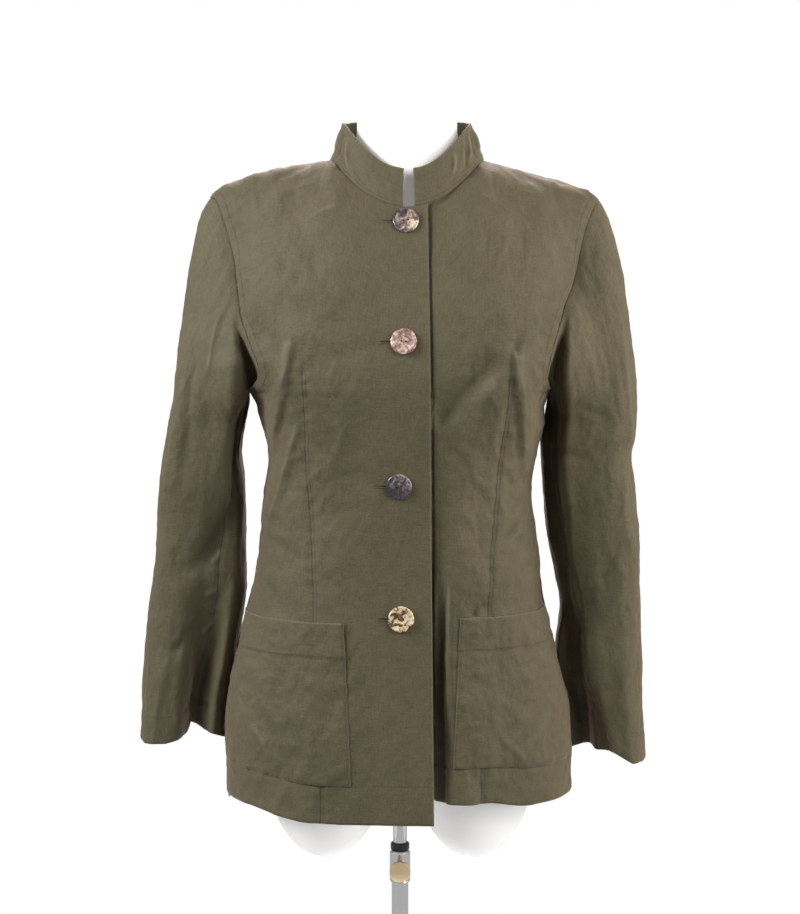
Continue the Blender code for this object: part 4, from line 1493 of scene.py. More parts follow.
@dataclass
class Sleeve(Panel):
    """A set-in sleeve, empty and slightly flared, with a deep fold at the front of its cuff."""

    side: Side = Side.RIGHT
    seam: Map = ()
    creases: tuple[Crease, ...] = ()
    seed: int = 21
    around: int = 168
    cap_rows: int = 62
    arm_rows: int = 132
    fold_spread: tuple[float, float] = (20.0, 26.0)
    flatness: float = 3.0
    cuff_rise: Map = ()
    hem_turn: float = 0.0265
    allowance: tuple[float, ...] = (0.0090, 0.0060, 0.0032)
    stitches: tuple[tuple, ...] = (("dart", -0.0065, True, (0.30, 0.69)), ("hem", 0.0, False, (0.30, 0.45)))

    def section(self, z: float, turn: Grid) -> Grid:
        """Section of the hanging sleeve.

        Args:
            z: Its height.
            turn: Degrees: 0 outside, 90 in front, 180 inside.

        Returns:
            The points.
        """
        sizes, phi = SLEEVE_SIZES[self.side], np.radians(turn)
        off = (turn - sizes.at("fold_at", z) + 180.0) % 360.0 - 180.0
        sharp, soft = self.fold_spread
        spread = sharp + (soft - sharp) * ease(0.38, 0.56, z)
        fold = sizes.at("fold_in", z) * bell(off**2 / spread, spread)
        across = np.cos(phi)
        ahead = np.sign(np.sin(phi)) * (1.0 - np.abs(across) ** self.flatness) ** (1.0 / self.flatness)
        x = sizes.at("out", z) + (sizes.at("half_out", z) - 0.35 * fold) * across
        y = sizes.at("depth", z) - (sizes.at("half_depth", z) - fold) * ahead
        return np.stack([self.side.value * x, y, np.full_like(y, z)], axis=-1)

    def cap(self, turn: Grid, top: float) -> Grid:
        """Rows of the sleeve head from the armhole down to the hanging part.

        Args:
            turn: Degrees around.
            top: Height where the hanging part starts.

        Returns:
            The rows.
        """
        half = self.around // 2
        front, back = (armhole_edge(self.side, is_back, half + 1) for is_back in (False, True))
        edge = np.concatenate([front, back[::-1][1:]])
        phi = np.radians(turn)
        leave = np.stack(
            [
                self.side.value * (0.50 * np.cos(phi / 2) ** 2 + 0.40 * np.sin(phi) ** 2),
                0.70 * bell(turn - 148.0, 30.0) - 0.20 * np.sin(phi),
                -(0.75 + 0.25 * np.sin(phi / 2) ** 2 - 0.25 * np.sin(phi) ** 2),
            ],
            axis=-1,
        )
        leave = unit(leave)
        edge = edge + leave * SEAM_GAP
        below = self.section(top, turn)
        length = np.linalg.norm(below - edge, axis=-1, keepdims=True)
        slope = unit((self.section(top - 0.01, turn) - below) / 0.01)
        shares = np.linspace(0.0, 1.0, self.cap_rows + 1)
        start = leave * length * (0.9 - 0.32 * np.cos(phi / 2) ** 4)[:, None]
        rows = [hermite(edge, start, below, slope * length * 0.9, t) for t in shares]
        middle = np.stack([0.3 * edge[:, 0], np.full(len(edge), 0.008), edge[:, 2] - 0.03], axis=-1)
        inward = unit(middle - edge)
        tucked = [edge + inward * reach for reach in self.allowance]
        rows[0] = rows[0] + inward * 0.0006
        return np.array([*tucked, *rows])

    def lay(self) -> ClothGrid:
        """The whole sleeve, from the armhole to the cuff.

        Returns:
            Its grid.
        """
        sizes = SLEEVE_SIZES[self.side]
        turn = np.linspace(0.0, 360.0, self.around + 1)
        top, cuff = sizes.z[-1], sizes.z[0]
        head = self.cap(turn, top)
        arm = [self.section(z, turn) for z in np.linspace(top, cuff, self.arm_rows + 1)[1:]]
        points = np.concatenate([head, arm])
        rise = np.interp(turn, *np.array(self.cuff_rise).T, period=360.0)
        points[..., 2] += rise * (1.0 - ease(cuff, cuff + 0.09, points[..., 2]))
        step = np.linalg.norm(np.diff(points, axis=0), axis=-1).mean(axis=1)
        along = np.concatenate([[0.0], np.cumsum(step)])
        along -= along[len(self.allowance)]
        drop = np.broadcast_to(along[:, None], points.shape[:2])
        turns = np.broadcast_to(turn, points.shape[:2])
        edge, depth = (SLEEVE_TUCK[self.side].at(name, points[..., 2]) for name in ("edge", "depth"))
        inner = ease(edge - 4.0, edge + 7.0, turns) * (1.0 - ease(edge + 25.0, 182.0, turns))
        points[..., 1] += depth * inner * ease(0.001, 0.010, drop)
        x, y, z = (points[..., i] for i in range(3))
        path = np.array(sorted(self.seam, key=lambda place: place[1]))
        off = (turns - np.interp(z, path[:, 1], path[:, 0]) + 180.0) % 360.0 - 180.0
        seam = off * DEGREE
        front = ((turns + 150.0) % 360.0 - 150.0) * DEGREE
        mixed_a, mixed_b = x * self.side.value + 1.4 * y, z + 0.4 * y
        scaled = tuple(
            replace(crease, path=tuple((t * DEGREE, h) for t, h in crease.path)) for crease in self.creases
        )
        folds = crease_sum(scaled, front, z)
        heights = folds + crumple(mixed_a, mixed_b, self.seed, 0.06, 0.0016)
        bend = front + 0.010 * noise(front / 0.05, z / 0.09, self.seed + 15)
        upright = noise(bend / 0.011, z / 0.060, self.seed + 14)
        heights += 0.0009 * (upright * noise(bend / 0.040, z / 0.050, self.seed + 16))
        uneven = noise(mixed_a / 0.03, mixed_b / 0.03, self.seed + 8)
        gather = np.sin(turns * math.pi / 180 * 26 + 3.0 * uneven)
        heights += 0.0007 * gather * np.exp(-np.abs(drop) / 0.020)
        heights *= ease(0.001, 0.014, drop)
        sewn = 1.0 - ease(path[-1, 1] - 0.04, path[-1, 1], z)
        drawn = ripple(z, 0.014, 2.5, (mixed_a, z), 0.02, self.seed + 5)
        heights += sewn * seam_hollow(seam, drawn, 0.0012)
        end = along[-1] - drop
        heights += turned_hem(end, self.hem_turn)
        seams = {
            "dart": seam * (1.0 + 60.0 * ease(path[-1, 1] - 0.004, path[-1, 1], z)),
            "hem": end - self.hem_turn,
            "edge": end,
        }
        grid = ClothGrid(points, np.stack([turns * DEGREE, -drop], axis=-1), seams, True)
        if self.side is Side.RIGHT:
            grid.points, grid.weave = grid.points[:, ::-1], grid.weave[:, ::-1]
            heights, folds = heights[:, ::-1], folds[:, ::-1]
            grid.seams = {name: values[:, ::-1] for name, values in seams.items()}
        grid.push(heights, folds)
        return grid


@dataclass
class Collar(Panel):
    """Stand collar with square ends and a gap at the front."""

    height: float = 0.0385
    lean: float = 18.0
    ends: tuple[float, float] = (5.0, 357.0)
    turn_length: float = 0.00125
    tucked: tuple[float, ...] = (-0.0030, -0.0012)
    creases: tuple[Crease, ...] = ()
    columns: int = 300
    rows: int = 28

    def lay(self) -> ClothGrid:
        """The band from its left end round the back to its right end.

        Returns:
            Its grid.
        """
        turn = np.linspace(*self.ends, self.columns)
        angle = np.where(turn <= 180.0, turn, turn - 360.0)
        share = NECK_SHARE * np.minimum(np.abs(angle), 180.0 - np.abs(angle)) / 90.0
        signed = np.copysign(np.maximum(share, 1e-9), angle)
        behind = (np.abs(angle) > 90.0)[:, None]
        base = np.where(behind, JACKET.top_line(signed, True), JACKET.top_line(signed, False))
        inward = np.stack([NECK_X - base[:, 0], -base[:, 1], np.zeros(len(turn))], axis=-1)
        inward = unit(inward)
        tilt = math.radians(self.lean)
        up = inward * math.sin(tilt) + np.array([0.0, 0.0, math.cos(tilt)])
        levels = np.concatenate([self.tucked, np.linspace(0.0006, self.height, self.rows)])
        points = np.array([base + up * level - inward * min(level, 0.0) for level in levels])
        a = np.broadcast_to(turn * self.turn_length, points.shape[:2])
        b = np.broadcast_to(levels[:, None], points.shape[:2])
        end_gap = np.minimum(turn - self.ends[0], self.ends[1] - turn) * self.turn_length
        edge = np.minimum(self.height - b, np.broadcast_to(end_gap, b.shape))
        folds = crease_sum(self.creases, a, b)
        heights = folds + crumple(a, b, 61, 0.030, 0.0013) * ease(0.0, 0.012, b)
        heights += 0.0012 * bell(b, 0.0035) + 0.0007 * bell(b - 0.0056, 0.0013)
        heights *= ease(-0.0012, 0.0012, b)
        seams = {"stitch": b - 0.0036, "edge": edge}
        grid = ClothGrid(points, np.stack([a, b], axis=-1), seams)
        grid.push(heights, folds)
        return grid


@dataclass
class Pocket(Panel):
    """A patch pocket laid on its front, with a turned and stitched top."""

    front: FrontPanel | None = None
    bottom: float = 0.337
    top: float = 0.494
    inner: tuple[float, float] = (0.0490, 0.0555)
    outer_share: float = 0.985
    lift: float = 0.0013
    top_turn: float = 0.033
    edge_stitch: float = 0.0016
    creases: tuple[Crease, ...] = ()
    seed: int = 91
    rows: int = 110
    columns: int = 96
    stitches: tuple[tuple, ...] = (
        ("hem", 0.0, False, (0.30, 0.52)),
        ("stitch", 0.0, True, (0.30, 0.52)),
        ("stitch", 0.0, False, (0.30, 0.40)),
    )

    def lay(self) -> ClothGrid:
        """The patch: points of its front moved out.

        Returns:
            Its grid.
        """
        side = self.front.side
        heights_z = np.linspace(self.bottom, self.top, self.rows)
        levels = heights_z - ARMPIT_Z
        shares = []
        for z, level in zip(heights_z, levels):
            t = (z - self.bottom) / (self.top - self.bottom)
            edge = self.inner[0] + (self.inner[1] - self.inner[0]) * t
            inner = JACKET.share_at_x(level, side.value * edge + 0.002)
            ends = (inner, self.outer_share) if side is Side.LEFT else (-self.outer_share, inner)
            shares.append(np.linspace(*ends, self.columns))
        shares = np.array(shares)
        grid = self.front.place(levels, shares, plain=True)
        inner_edge = shares[:, :1] if side is Side.LEFT else shares[:, -1:]
        across = np.abs(shares - inner_edge) * SIDE_LENGTH
        up = np.broadcast_to((heights_z - self.bottom)[:, None], shares.shape)
        full = up[-1, 0]
        x, z = grid.points[..., 0], grid.points[..., 2]
        free = ease(0.0, 0.035, (self.outer_share - np.abs(shares)) * SIDE_LENGTH)
        swell = np.sin(math.pi * np.clip(up / full, 0, 1)) * ease(0.0, 0.05, across)
        folds = crease_sum(self.creases, x, z) * free
        heights = self.lift * (0.5 + 0.5 * free) + 0.0012 * swell * free + folds
        heights += crumple(x, z, self.seed, 0.032, 0.0009) * free
        heights += 0.0008 * free * ease(full - self.top_turn - 0.002, full - self.top_turn + 0.002, up)
        heights -= 0.0006 * bell(np.minimum(across, up), 0.0018)
        grid.seams = {
            "hem": full - up - self.top_turn,
            "stitch": np.minimum(across, up) - self.edge_stitch,
            "edge": np.minimum(np.minimum(across, up), full - up),
        }
        grid.weave = grid.weave + np.array([0.0037, 0.0021])
        grid.push(heights, folds)
        return grid


@dataclass
class Stitching:
    """Short stitches set along lines, by Geometry Nodes."""

    name: str
    pitch: float
    length: float
    radius: float

    def tree(self) -> NodeTree:
        """The node tree that sets one stitch per step along each line, turned to the line's aim.

        Returns:
            The tree.
        """
        tree = bpy.data.node_groups.new(self.name, "GeometryNodeTree")
        for label, kind in (
            ("Geometry", "NodeSocketGeometry"),
            ("Pitch", "NodeSocketFloat"),
            ("Stitch Length", "NodeSocketFloat"),
            ("Thread Radius", "NodeSocketFloat"),
            ("Thread", "NodeSocketMaterial"),
        ):
            tree.interface.new_socket(label, in_out="INPUT", socket_type=kind)
        tree.interface.new_socket("Geometry", in_out="OUTPUT", socket_type="NodeSocketGeometry")
        maker = NodeMaker(tree)
        given, out = maker.add("NodeGroupInput").outputs, maker.add("NodeGroupOutput").inputs
        curve = maker.add("GeometryNodeMeshToCurve", {"Mesh": given["Geometry"]})
        steps = {"Curve": curve.outputs[0], "Length": given["Pitch"]}
        spots = maker.add("GeometryNodeCurveToPoints", steps, mode="LENGTH")
        aim = maker.add("GeometryNodeInputNamedAttribute", {"Name": "aim"}, data_type="FLOAT_VECTOR")
        turn = maker.add("FunctionNodeAlignRotationToVector", {"Vector": aim.outputs["Attribute"]}, axis="X")
        thread = maker.add("GeometryNodeMeshIcoSphere", {"Radius": 1.0, "Subdivisions": 1})
        half, radius = maker.math("MULTIPLY", given["Stitch Length"], 0.5), given["Thread Radius"]
        size = maker.add("ShaderNodeCombineXYZ", {0: half, 1: radius, 2: radius})
        stitch = {"Points": spots.outputs["Points"], "Instance": thread.outputs["Mesh"]}
        turned_to = {"Rotation": turn.outputs[0], "Scale": size.outputs[0]}
        copies = maker.add("GeometryNodeInstanceOnPoints", {**stitch, **turned_to})
        real = maker.add("GeometryNodeRealizeInstances", {0: copies.outputs[0]})
        dye = {"Geometry": real.outputs[0], "Material": given["Thread"]}
        dyed = maker.add("GeometryNodeSetMaterial", dye)
        maker.feed(out[0], dyed.outputs[0])
        return tree

    def build(self, lines: list[tuple[Grid, Grid]], finish: Material) -> Object:
        """Set the stitches.

        Args:
            lines: Points of each line and the way that its stitches point.
            finish: Material of the thread.

        Returns:
            All the stitches as one plain mesh.
        """
        mesh = bpy.data.meshes.new(self.name)
        points, aims, edges = [], [], []
        for line, aim in lines:
            start = len(points)
            points.extend(line.tolist())
            aims.extend(aim.tolist())
            near = np.linalg.norm(np.diff(line, axis=0), axis=1) < 0.012
            edges.extend((start + k, start + k + 1) for k in np.nonzero(near)[0])
        mesh.from_pydata(points, edges, [])
        layer = mesh.attributes.new("aim", "FLOAT_VECTOR", "POINT")
        layer.data.foreach_set("vector", np.array(aims, dtype=np.float32).reshape(-1))
        item = link(bpy.data.objects.new(self.name, mesh))
        tree = self.tree()
        modifier = item.modifiers.new("stitches", "NODES")
        modifier.node_group = tree
        values = {
            "Pitch": self.pitch,
            "Stitch Length": self.length,
            "Thread Radius": self.radius,
            "Thread": finish,
        }
        for socket in tree.interface.items_tree:
            if socket.in_out == "INPUT" and socket.name in values:
                modifier[socket.identifier] = values[socket.name]
        plain_copy(item)
        shade(item.data)
        declare(item, Body.FORM)
        return item


def along_line(points: Grid) -> tuple[Grid, Grid]:
    """A line with stitches that point along it."""
    aim = np.gradient(points, axis=0)
    return points, aim / np.maximum(np.linalg.norm(aim, axis=1, keepdims=True), 1e-9)


def turned(
    name: str,
    profile: Map,
    finish: Material,
    place: Matrix = Matrix(),
    segments: int = 72,
    hollow: bool = False,
) -> Object:
    """A turned solid.

    Args:
        name: Name of the piece.
        profile: Radius and height of each step, from the bottom up on the outside.
        finish: Its material.
        place: Where it stands.
        segments: Steps around.
        hollow: Whether the profile closes on itself around a bore.

    Returns:
        The solid.
    """
    bm = bmesh.new()
    rings = []
    for radius, height in profile:
        count = segments if radius > 0 else 1
        turns = [2 * math.pi * k / segments for k in range(count)]
        rings.append([bm.verts.new((radius * math.cos(t), radius * math.sin(t), height)) for t in turns])
    pairs = list(zip(rings, rings[1:])) + ([(rings[-1], rings[0])] if hollow else [])
    for low, high in pairs:
        for k in range(segments):
            n = (k + 1) % segments
            corners = [low[k % len(low)], low[n % len(low)], high[n % len(high)], high[k % len(high)]]
            corners = list(dict.fromkeys(corners))
            if len(corners) > 2:
                bm.faces.new(corners)
    bmesh.ops.recalc_face_normals(bm, faces=bm.faces)
    bmesh.ops.transform(bm, matrix=place, verts=bm.verts)
    mesh = bpy.data.meshes.new(name)
    bm.to_mesh(mesh)
    bm.free()
    shade(mesh, SHARP_ANGLE)
    mesh.materials.append(finish)
    return link(bpy.data.objects.new(name, mesh))


def cut_away(item: Object, tools: list[Object]) -> Object:
    """Cut tools out of a piece and remove them.

    Args:
        item: The piece.
        tools: Solids to cut out.

    Returns:
        The piece.
    """
    for tool in tools:
        cut = item.modifiers.new("cut", "BOOLEAN")
        cut.operation = "DIFFERENCE"
        cut.solver = "EXACT"
        cut.object = tool
    plain_copy(item)
    for tool in tools:
        bpy.data.objects.remove(tool)
    shade(item.data, SHARP_ANGLE)
    return item


@dataclass
class ShellButton:
    """A dished shell button with two holes, sewn on the over front."""

    name: str
    x: float
    z: float
    tip: float
    spin: float
    finish: ShellFinish
    hole_radius: float = 0.0010
    spread: float = 0.0021
    lift: float = 0.0006
    profile: Map = (
        (0.0, 0.0), (0.0095, 0.0), (0.0115, 0.0006), (0.0124, 0.0014), (0.0125, 0.0019), (0.0121, 0.0026),
        (0.0113, 0.0030), (0.0104, 0.0029), (0.0095, 0.0025), (0.0070, 0.0021), (0.0, 0.0019),
    )

    def frame(self, front: ClothGrid) -> Matrix:
        """Where the button sits on the front.

        Args:
            front: Grid of the over front.

        Returns:
            Its place and turn.
        """
        at, normal = front.spot(self.x, self.z)
        base = normal.to_track_quat("Z", "Y").to_matrix().to_4x4()
        tip = Matrix.Rotation(math.radians(self.tip), 4, "X")
        lean = tip @ Matrix.Rotation(math.radians(self.spin), 4, "Z")
        return Matrix.Translation(at + normal * self.lift) @ base @ lean

    def build(self, front: ClothGrid) -> Object:
        """Make the button.

        Args:
            front: Grid of the over front.

        Returns:
            The button.
        """
        place = self.frame(front)
        made = self.finish.build(place.translation)
        item = turned(self.name, self.profile, made, place, 64)
        tools = []
        for side in (-1, 1):
            aside = place @ Matrix.Translation((side * self.spread, 0.0, 0.0))
            bar = ((0.0, -0.01), (self.hole_radius, -0.01), (self.hole_radius, 0.01), (0.0, 0.01))
            tools.append(turned(f"{self.name}_hole", bar, made, aside, 20))
        cut_away(item, tools)
        declare(item, Body.FORM, self.name)
        return item

    def thread_line(self, front: ClothGrid) -> tuple[Grid, Grid]:
        """The one stitch between the holes.

        Args:
            front: Grid of the over front.

        Returns:
            Ends of the stitch and the way that it points.
        """
        place = self.frame(front)
        ends = [place @ Vector((s * 0.0001, 0.0, 0.0009)) for s in (-1, 1)]
        way = (place.to_3x3() @ Vector((1.0, 0.0, 0.0))).normalized()
        return np.array(ends), np.array([way, way])


@dataclass
class Buttonhole:
    """A corded buttonhole that starts under its button and runs to the viewer's left."""

    x: float
    z: float
    back: float = 0.0225
    ahead: float = 0.0040
    slit: float = 0.0008

    def lines(self, front: ClothGrid) -> list[tuple[Grid, Grid]]:
        """Upper and lower rows of bar stitches.

        Args:
            front: Grid of the over front.

        Returns:
            Points and directions of each row.
        """
        made = []
        run = np.linspace(self.x - self.back, self.x + self.ahead, 24)
        for side in (-1, 1):
            spots = [front.spot(x, self.z + side * 0.0012) for x in run]
            points = np.array([at + normal * 0.0001 for at, normal in spots])
            aims = np.array([(0.06, 0.0, 1.0)] * len(points))
            made.append((points, aims))
        return made

    def ribbon(self, front: ClothGrid) -> tuple[list[Vector], list[tuple[int, ...]]]:
        """A dark strip just above the cloth, painted shadow where the slit opens.

        Args:
            front: Grid of the over front.

        Returns:
            Points and faces.
        """
        points = []
        for x in np.linspace(self.x - self.back + 0.001, self.x + self.ahead - 0.001, 20):
            at, normal = front.spot(x, self.z)
            up = Vector((0.0, 0.0, self.slit / 2))
            points += [at + normal * 0.00008 - up, at + normal * 0.00008 + up]
        faces = [(2 * k, 2 * k + 2, 2 * k + 3, 2 * k + 1) for k in range(19)]
        return points, faces


def build_slits(holes: list[Buttonhole], front: ClothGrid, finish: Material) -> Object:
    """All the slits' strips of painted shadow as one mesh.

    Args:
        holes: The buttonholes.
        front: Grid of the over front.
        finish: Material of the slits.

    Returns:
        The mesh object.
    """
    points, faces = [], []
    for hole in holes:
        more, quads = hole.ribbon(front)
        faces += [tuple(k + len(points) for k in quad) for quad in quads]
        points += more
    mesh = bpy.data.meshes.new("buttonhole_slits")
    mesh.from_pydata([tuple(point) for point in points], [], faces)
    mesh.materials.append(finish)
    item = link(bpy.data.objects.new("buttonhole_slits", mesh))
    thick = item.modifiers.new("wall", "SOLIDIFY")
    thick.thickness = 0.0003
    plain_copy(item)
    declare(item, Body.FORM)
    return item


@dataclass
class DressForm:
    """White limbless torso with a neck and two short rounded stumps."""

    neck_top: float = 1.006
    neck_half: float = 0.0495
    neck_depth: float = 0.049
    neck_y: float = -0.007
    stump: Triple = (0.074, -0.016, 0.355)
    stump_size: Triple = (0.064, 0.074, 0.112)
    socket: tuple[float, float] = (0.0073, 0.4003)
    voxel: float = 0.0048

    def torso(self, bm: bmesh.types.BMesh) -> None:
        """Rings from the lowest section to the shoulder ridge, then the neck.

        Args:
            bm: Mesh that takes them.
        """
        outer = np.linspace(NECK_SHARE, 1.0, 20)[1:]
        u = np.concatenate([-outer[::-1], np.linspace(-NECK_SHARE, NECK_SHARE, 41), outer])
        low = np.linspace(FORM_SIZES.z[0] - ARMPIT_Z, 0.0, 40)
        made = []
        for level in np.concatenate([low, np.linspace(0.0, 1.0, 36)[1:]]):
            ring = np.concatenate([FORM.row(level, u, False), FORM.row(level, u[::-1], True)])
            made.append([bm.verts.new(point) for point in ring])
        bm.faces.new(list(reversed(made[0])))
        count, total = len(u), 2 * len(u)
        loop = made[-1][19 : count - 19] + made[-1][count + 19 : total - 19]
        base = [vert.co.copy() for vert in loop]
        for share in np.linspace(0.0, 1.0, 25)[1:]:
            made_neck = [bm.verts.new(self.neck_point(point, share)) for point in base]
            self.join(bm, loop, made_neck)
            loop = made_neck
        bm.faces.new(loop)
        for first, second in zip(made, made[1:]):
            self.join(bm, first, second)

    def neck_point(self, point: Vector, share: float) -> Vector:
        """A point of the neck above a point of the neckline.

        Args:
            point: Point of the neckline.
            share: Share of the way up.

        Returns:
            The point.
        """
        angle = math.atan2(point.x - NECK_X, -(point.y - self.neck_y))
        goal_x = NECK_X + self.neck_half * math.sin(angle)
        goal_y = self.neck_y - self.neck_depth * math.cos(angle)
        inward = float(ease(0.0, 0.45, share))
        z = point.z + (self.neck_top - point.z) * share
        return Vector((point.x + (goal_x - point.x) * inward, point.y + (goal_y - point.y) * inward, z))

    def join(self, bm: bmesh.types.BMesh, low: list, high: list) -> None:
        """Faces between two rings."""
        for i in range(len(low)):
            j = (i + 1) % len(low)
            bm.faces.new((low[i], low[j], high[j], high[i]))

    def build(self, finish: Material) -> Object:
        """Make the form as one smooth skin.

        Args:
            finish: Its material.

        Returns:
            The form.
        """
        bm = bmesh.new()
        self.torso(bm)
        bmesh.ops.remove_doubles(bm, verts=bm.verts, dist=0.00005)
        for side in Side:
            x, y, z = self.stump
            place = Matrix.Translation((side.value * x, y, z)) @ Matrix.Diagonal((*self.stump_size, 1.0))
            bmesh.ops.create_uvsphere(bm, u_segments=48, v_segments=32, radius=1.0, matrix=place)
        bmesh.ops.recalc_face_normals(bm, faces=bm.faces)
        mesh = bpy.data.meshes.new("form_skin")
        bm.to_mesh(mesh)
        bm.free()
        mesh.materials.append(finish)
        item = link(bpy.data.objects.new("form_skin", mesh))
        skin = item.modifiers.new("skin", "REMESH")
        skin.mode = "VOXEL"
        skin.voxel_size = self.voxel
        soft = item.modifiers.new("soft", "SMOOTH")
        soft.factor = 0.5
        soft.iterations = 6
        plain_copy(item)
        if not item.data.materials:
            item.data.materials.append(finish)
        radius, top = self.socket
        bar = ((0.0, 0.2), (radius, 0.2), (radius, top), (0.0, top))
        cut_away(item, [turned("socket", bar, finish, segments=32)])
        declare(item, Body.FORM, "form_torso")
        return item


@dataclass
class Stand:
    """Chrome rod in a tube with a black ring, a clamp and a round knob, on a round base."""

    rod_radius: float = 0.0070
    rod: tuple[float, float] = (0.050, 0.400)
    tube_radius: float = 0.0085
    bore: float = 0.0076
    tube_top: float = 0.2450
    ring_radius: float = 0.0095
    ring_top: float = 0.2530
    clamp_radius: float = 0.0104
    clamp: tuple[float, float] = (0.2130, 0.2440)
    screw_z: float = 0.2290
    boss: tuple[float, float] = (0.0060, 0.0200)
    knob_radius: float = 0.0105
    knob_thick: float = 0.0080
    base_radius: float = 0.155
    base_thick: float = 0.010
    hub: tuple[float, float] = (0.020, 0.024)

    def sleeve(self, inner: float, outer: float, low: float, high: float, edge: float) -> Map:
        """Profile of a tube with softened rims."""
        return (
            (inner, low + edge), (inner + edge, low), (outer - edge, low), (outer, low + edge),
            (outer, high - edge), (outer - edge, high), (inner + edge, high), (inner, high - edge),
        )

    def bar(self, radius: float, low: float, high: float, edge: float) -> Map:
        """Profile of a round bar with softened ends."""
        return (
            (0.0, low), (radius - edge, low), (radius - 0.3 * edge, low + 0.3 * edge), (radius, low + edge),
            (radius, high - edge), (radius - 0.3 * edge, high - 0.3 * edge), (radius - edge, high),
            (0.0, high),
        )

    def build(self, chrome: Material, black: Material, warm: Material) -> None:
        """Make the stand's pieces in chrome, with a black ring and a warm-toned knob.

        Args:
            chrome: Material of the metal.
            black: Material of the ring.
            warm: Material of the knob.
        """
        gap = SEAM_GAP
        ahead = Matrix.Translation((0.0, 0.0, self.screw_z)) @ Matrix.Rotation(math.pi / 2, 4, "X")
        rod = turned("chrome_rod", self.bar(self.rod_radius, *self.rod, 0.0008), chrome)
        tube_profile = self.sleeve(self.bore, self.tube_radius, self.base_thick + gap, self.tube_top, 0.0004)
        tube = turned("chrome_tube", tube_profile, chrome, hollow=True)
        ring_profile = self.sleeve(self.bore, self.ring_radius, self.tube_top + gap, self.ring_top, 0.0012)
        ring = turned("ring", ring_profile, black, hollow=True)
        clamp_profile = self.sleeve(self.tube_radius + gap, self.clamp_radius, *self.clamp, 0.0012)
        clamp = turned("clamp_sleeve", clamp_profile, chrome, hollow=True)
        boss = turned("boss", self.bar(self.boss[0], 0.0092, self.boss[1], 0.0006), chrome, ahead, 48)
        face = self.boss[1] + 0.0006
        end = face + self.knob_thick
        wide = self.knob_radius
        knob_profile = (
            (0.0, 0.0105), (0.0030, 0.0105), (0.0030, face), (wide - 0.0012, face),
            (wide - 0.0003, face + 0.0004), (wide, face + 0.0012), (wide, end - 0.0010),
            (wide - 0.0003, end - 0.0003), (wide - 0.0010, end), (0.0, end),
        )
        knob = turned("knob", knob_profile, warm, ahead, 64)
        hub, hub_top = self.hub
        thick, seat, rim = self.base_thick, self.tube_radius + gap, self.base_radius
        base_profile = (
            (0.0, 0.0), (rim - 0.0015, 0.0), (rim, 0.0015), (rim, thick - 0.003),
            (rim - 0.0012, thick - 0.0008), (rim - 0.004, thick), (hub + 0.0015, thick),
            (hub, thick + 0.0015), (hub, hub_top - 0.0015), (hub - 0.0015, hub_top), (seat, hub_top),
            (seat, thick), (0.0, thick),
        )
        base = turned("base_plate", base_profile, chrome, segments=128)
        join_into(clamp, boss)
        for item, body, slot, node in (
            (rod, Body.ROD, Slot.CHROME, "form_rod"),
            (tube, Body.STAND, Slot.CHROME, "stand_tube"),
            (ring, Body.STAND, Slot.RING, "stand_ring"),
            (clamp, Body.STAND, Slot.CHROME, "stand_clamp"),
            (base, Body.STAND, Slot.CHROME, "stand_base"),
            (knob, Body.KNOB, Slot.CHROME, "clamp_knob"),
        ):
            declare(item, body, node)


def join_into(item: Object, other: Object) -> None:
    """Add another piece's mesh to a piece.

    Args:
        item: The piece.
        other: Piece used up.
    """
    bm = bmesh.new()
    bm.from_mesh(item.data)
    bm.from_mesh(other.data)
    bm.to_mesh(item.data)
    bm.free()
    bpy.data.objects.remove(other)
    shade(item.data, SHARP_ANGLE)


@dataclass(frozen=True)
class Lamp:
    """A soft square lamp that points at the middle line at some height."""

    place: Triple
    aim: float
    size: float
    power: float
    tint: Triple = (1.0, 1.0, 1.0)

    def build(self, name: str) -> None:
        """Put the lamp into the scene.

        Args:
            name: Its name.
        """
        lamp = bpy.data.lights.new(name, "AREA")
        lamp.size = self.size
        lamp.energy = self.power
        lamp.color = self.tint
        light = link(bpy.data.objects.new(name, lamp))
        light.location = self.place
        way = Vector((0.0, 0.0, self.aim)) - Vector(self.place)
        light.rotation_euler = way.to_track_quat("-Z", "Y").to_euler()


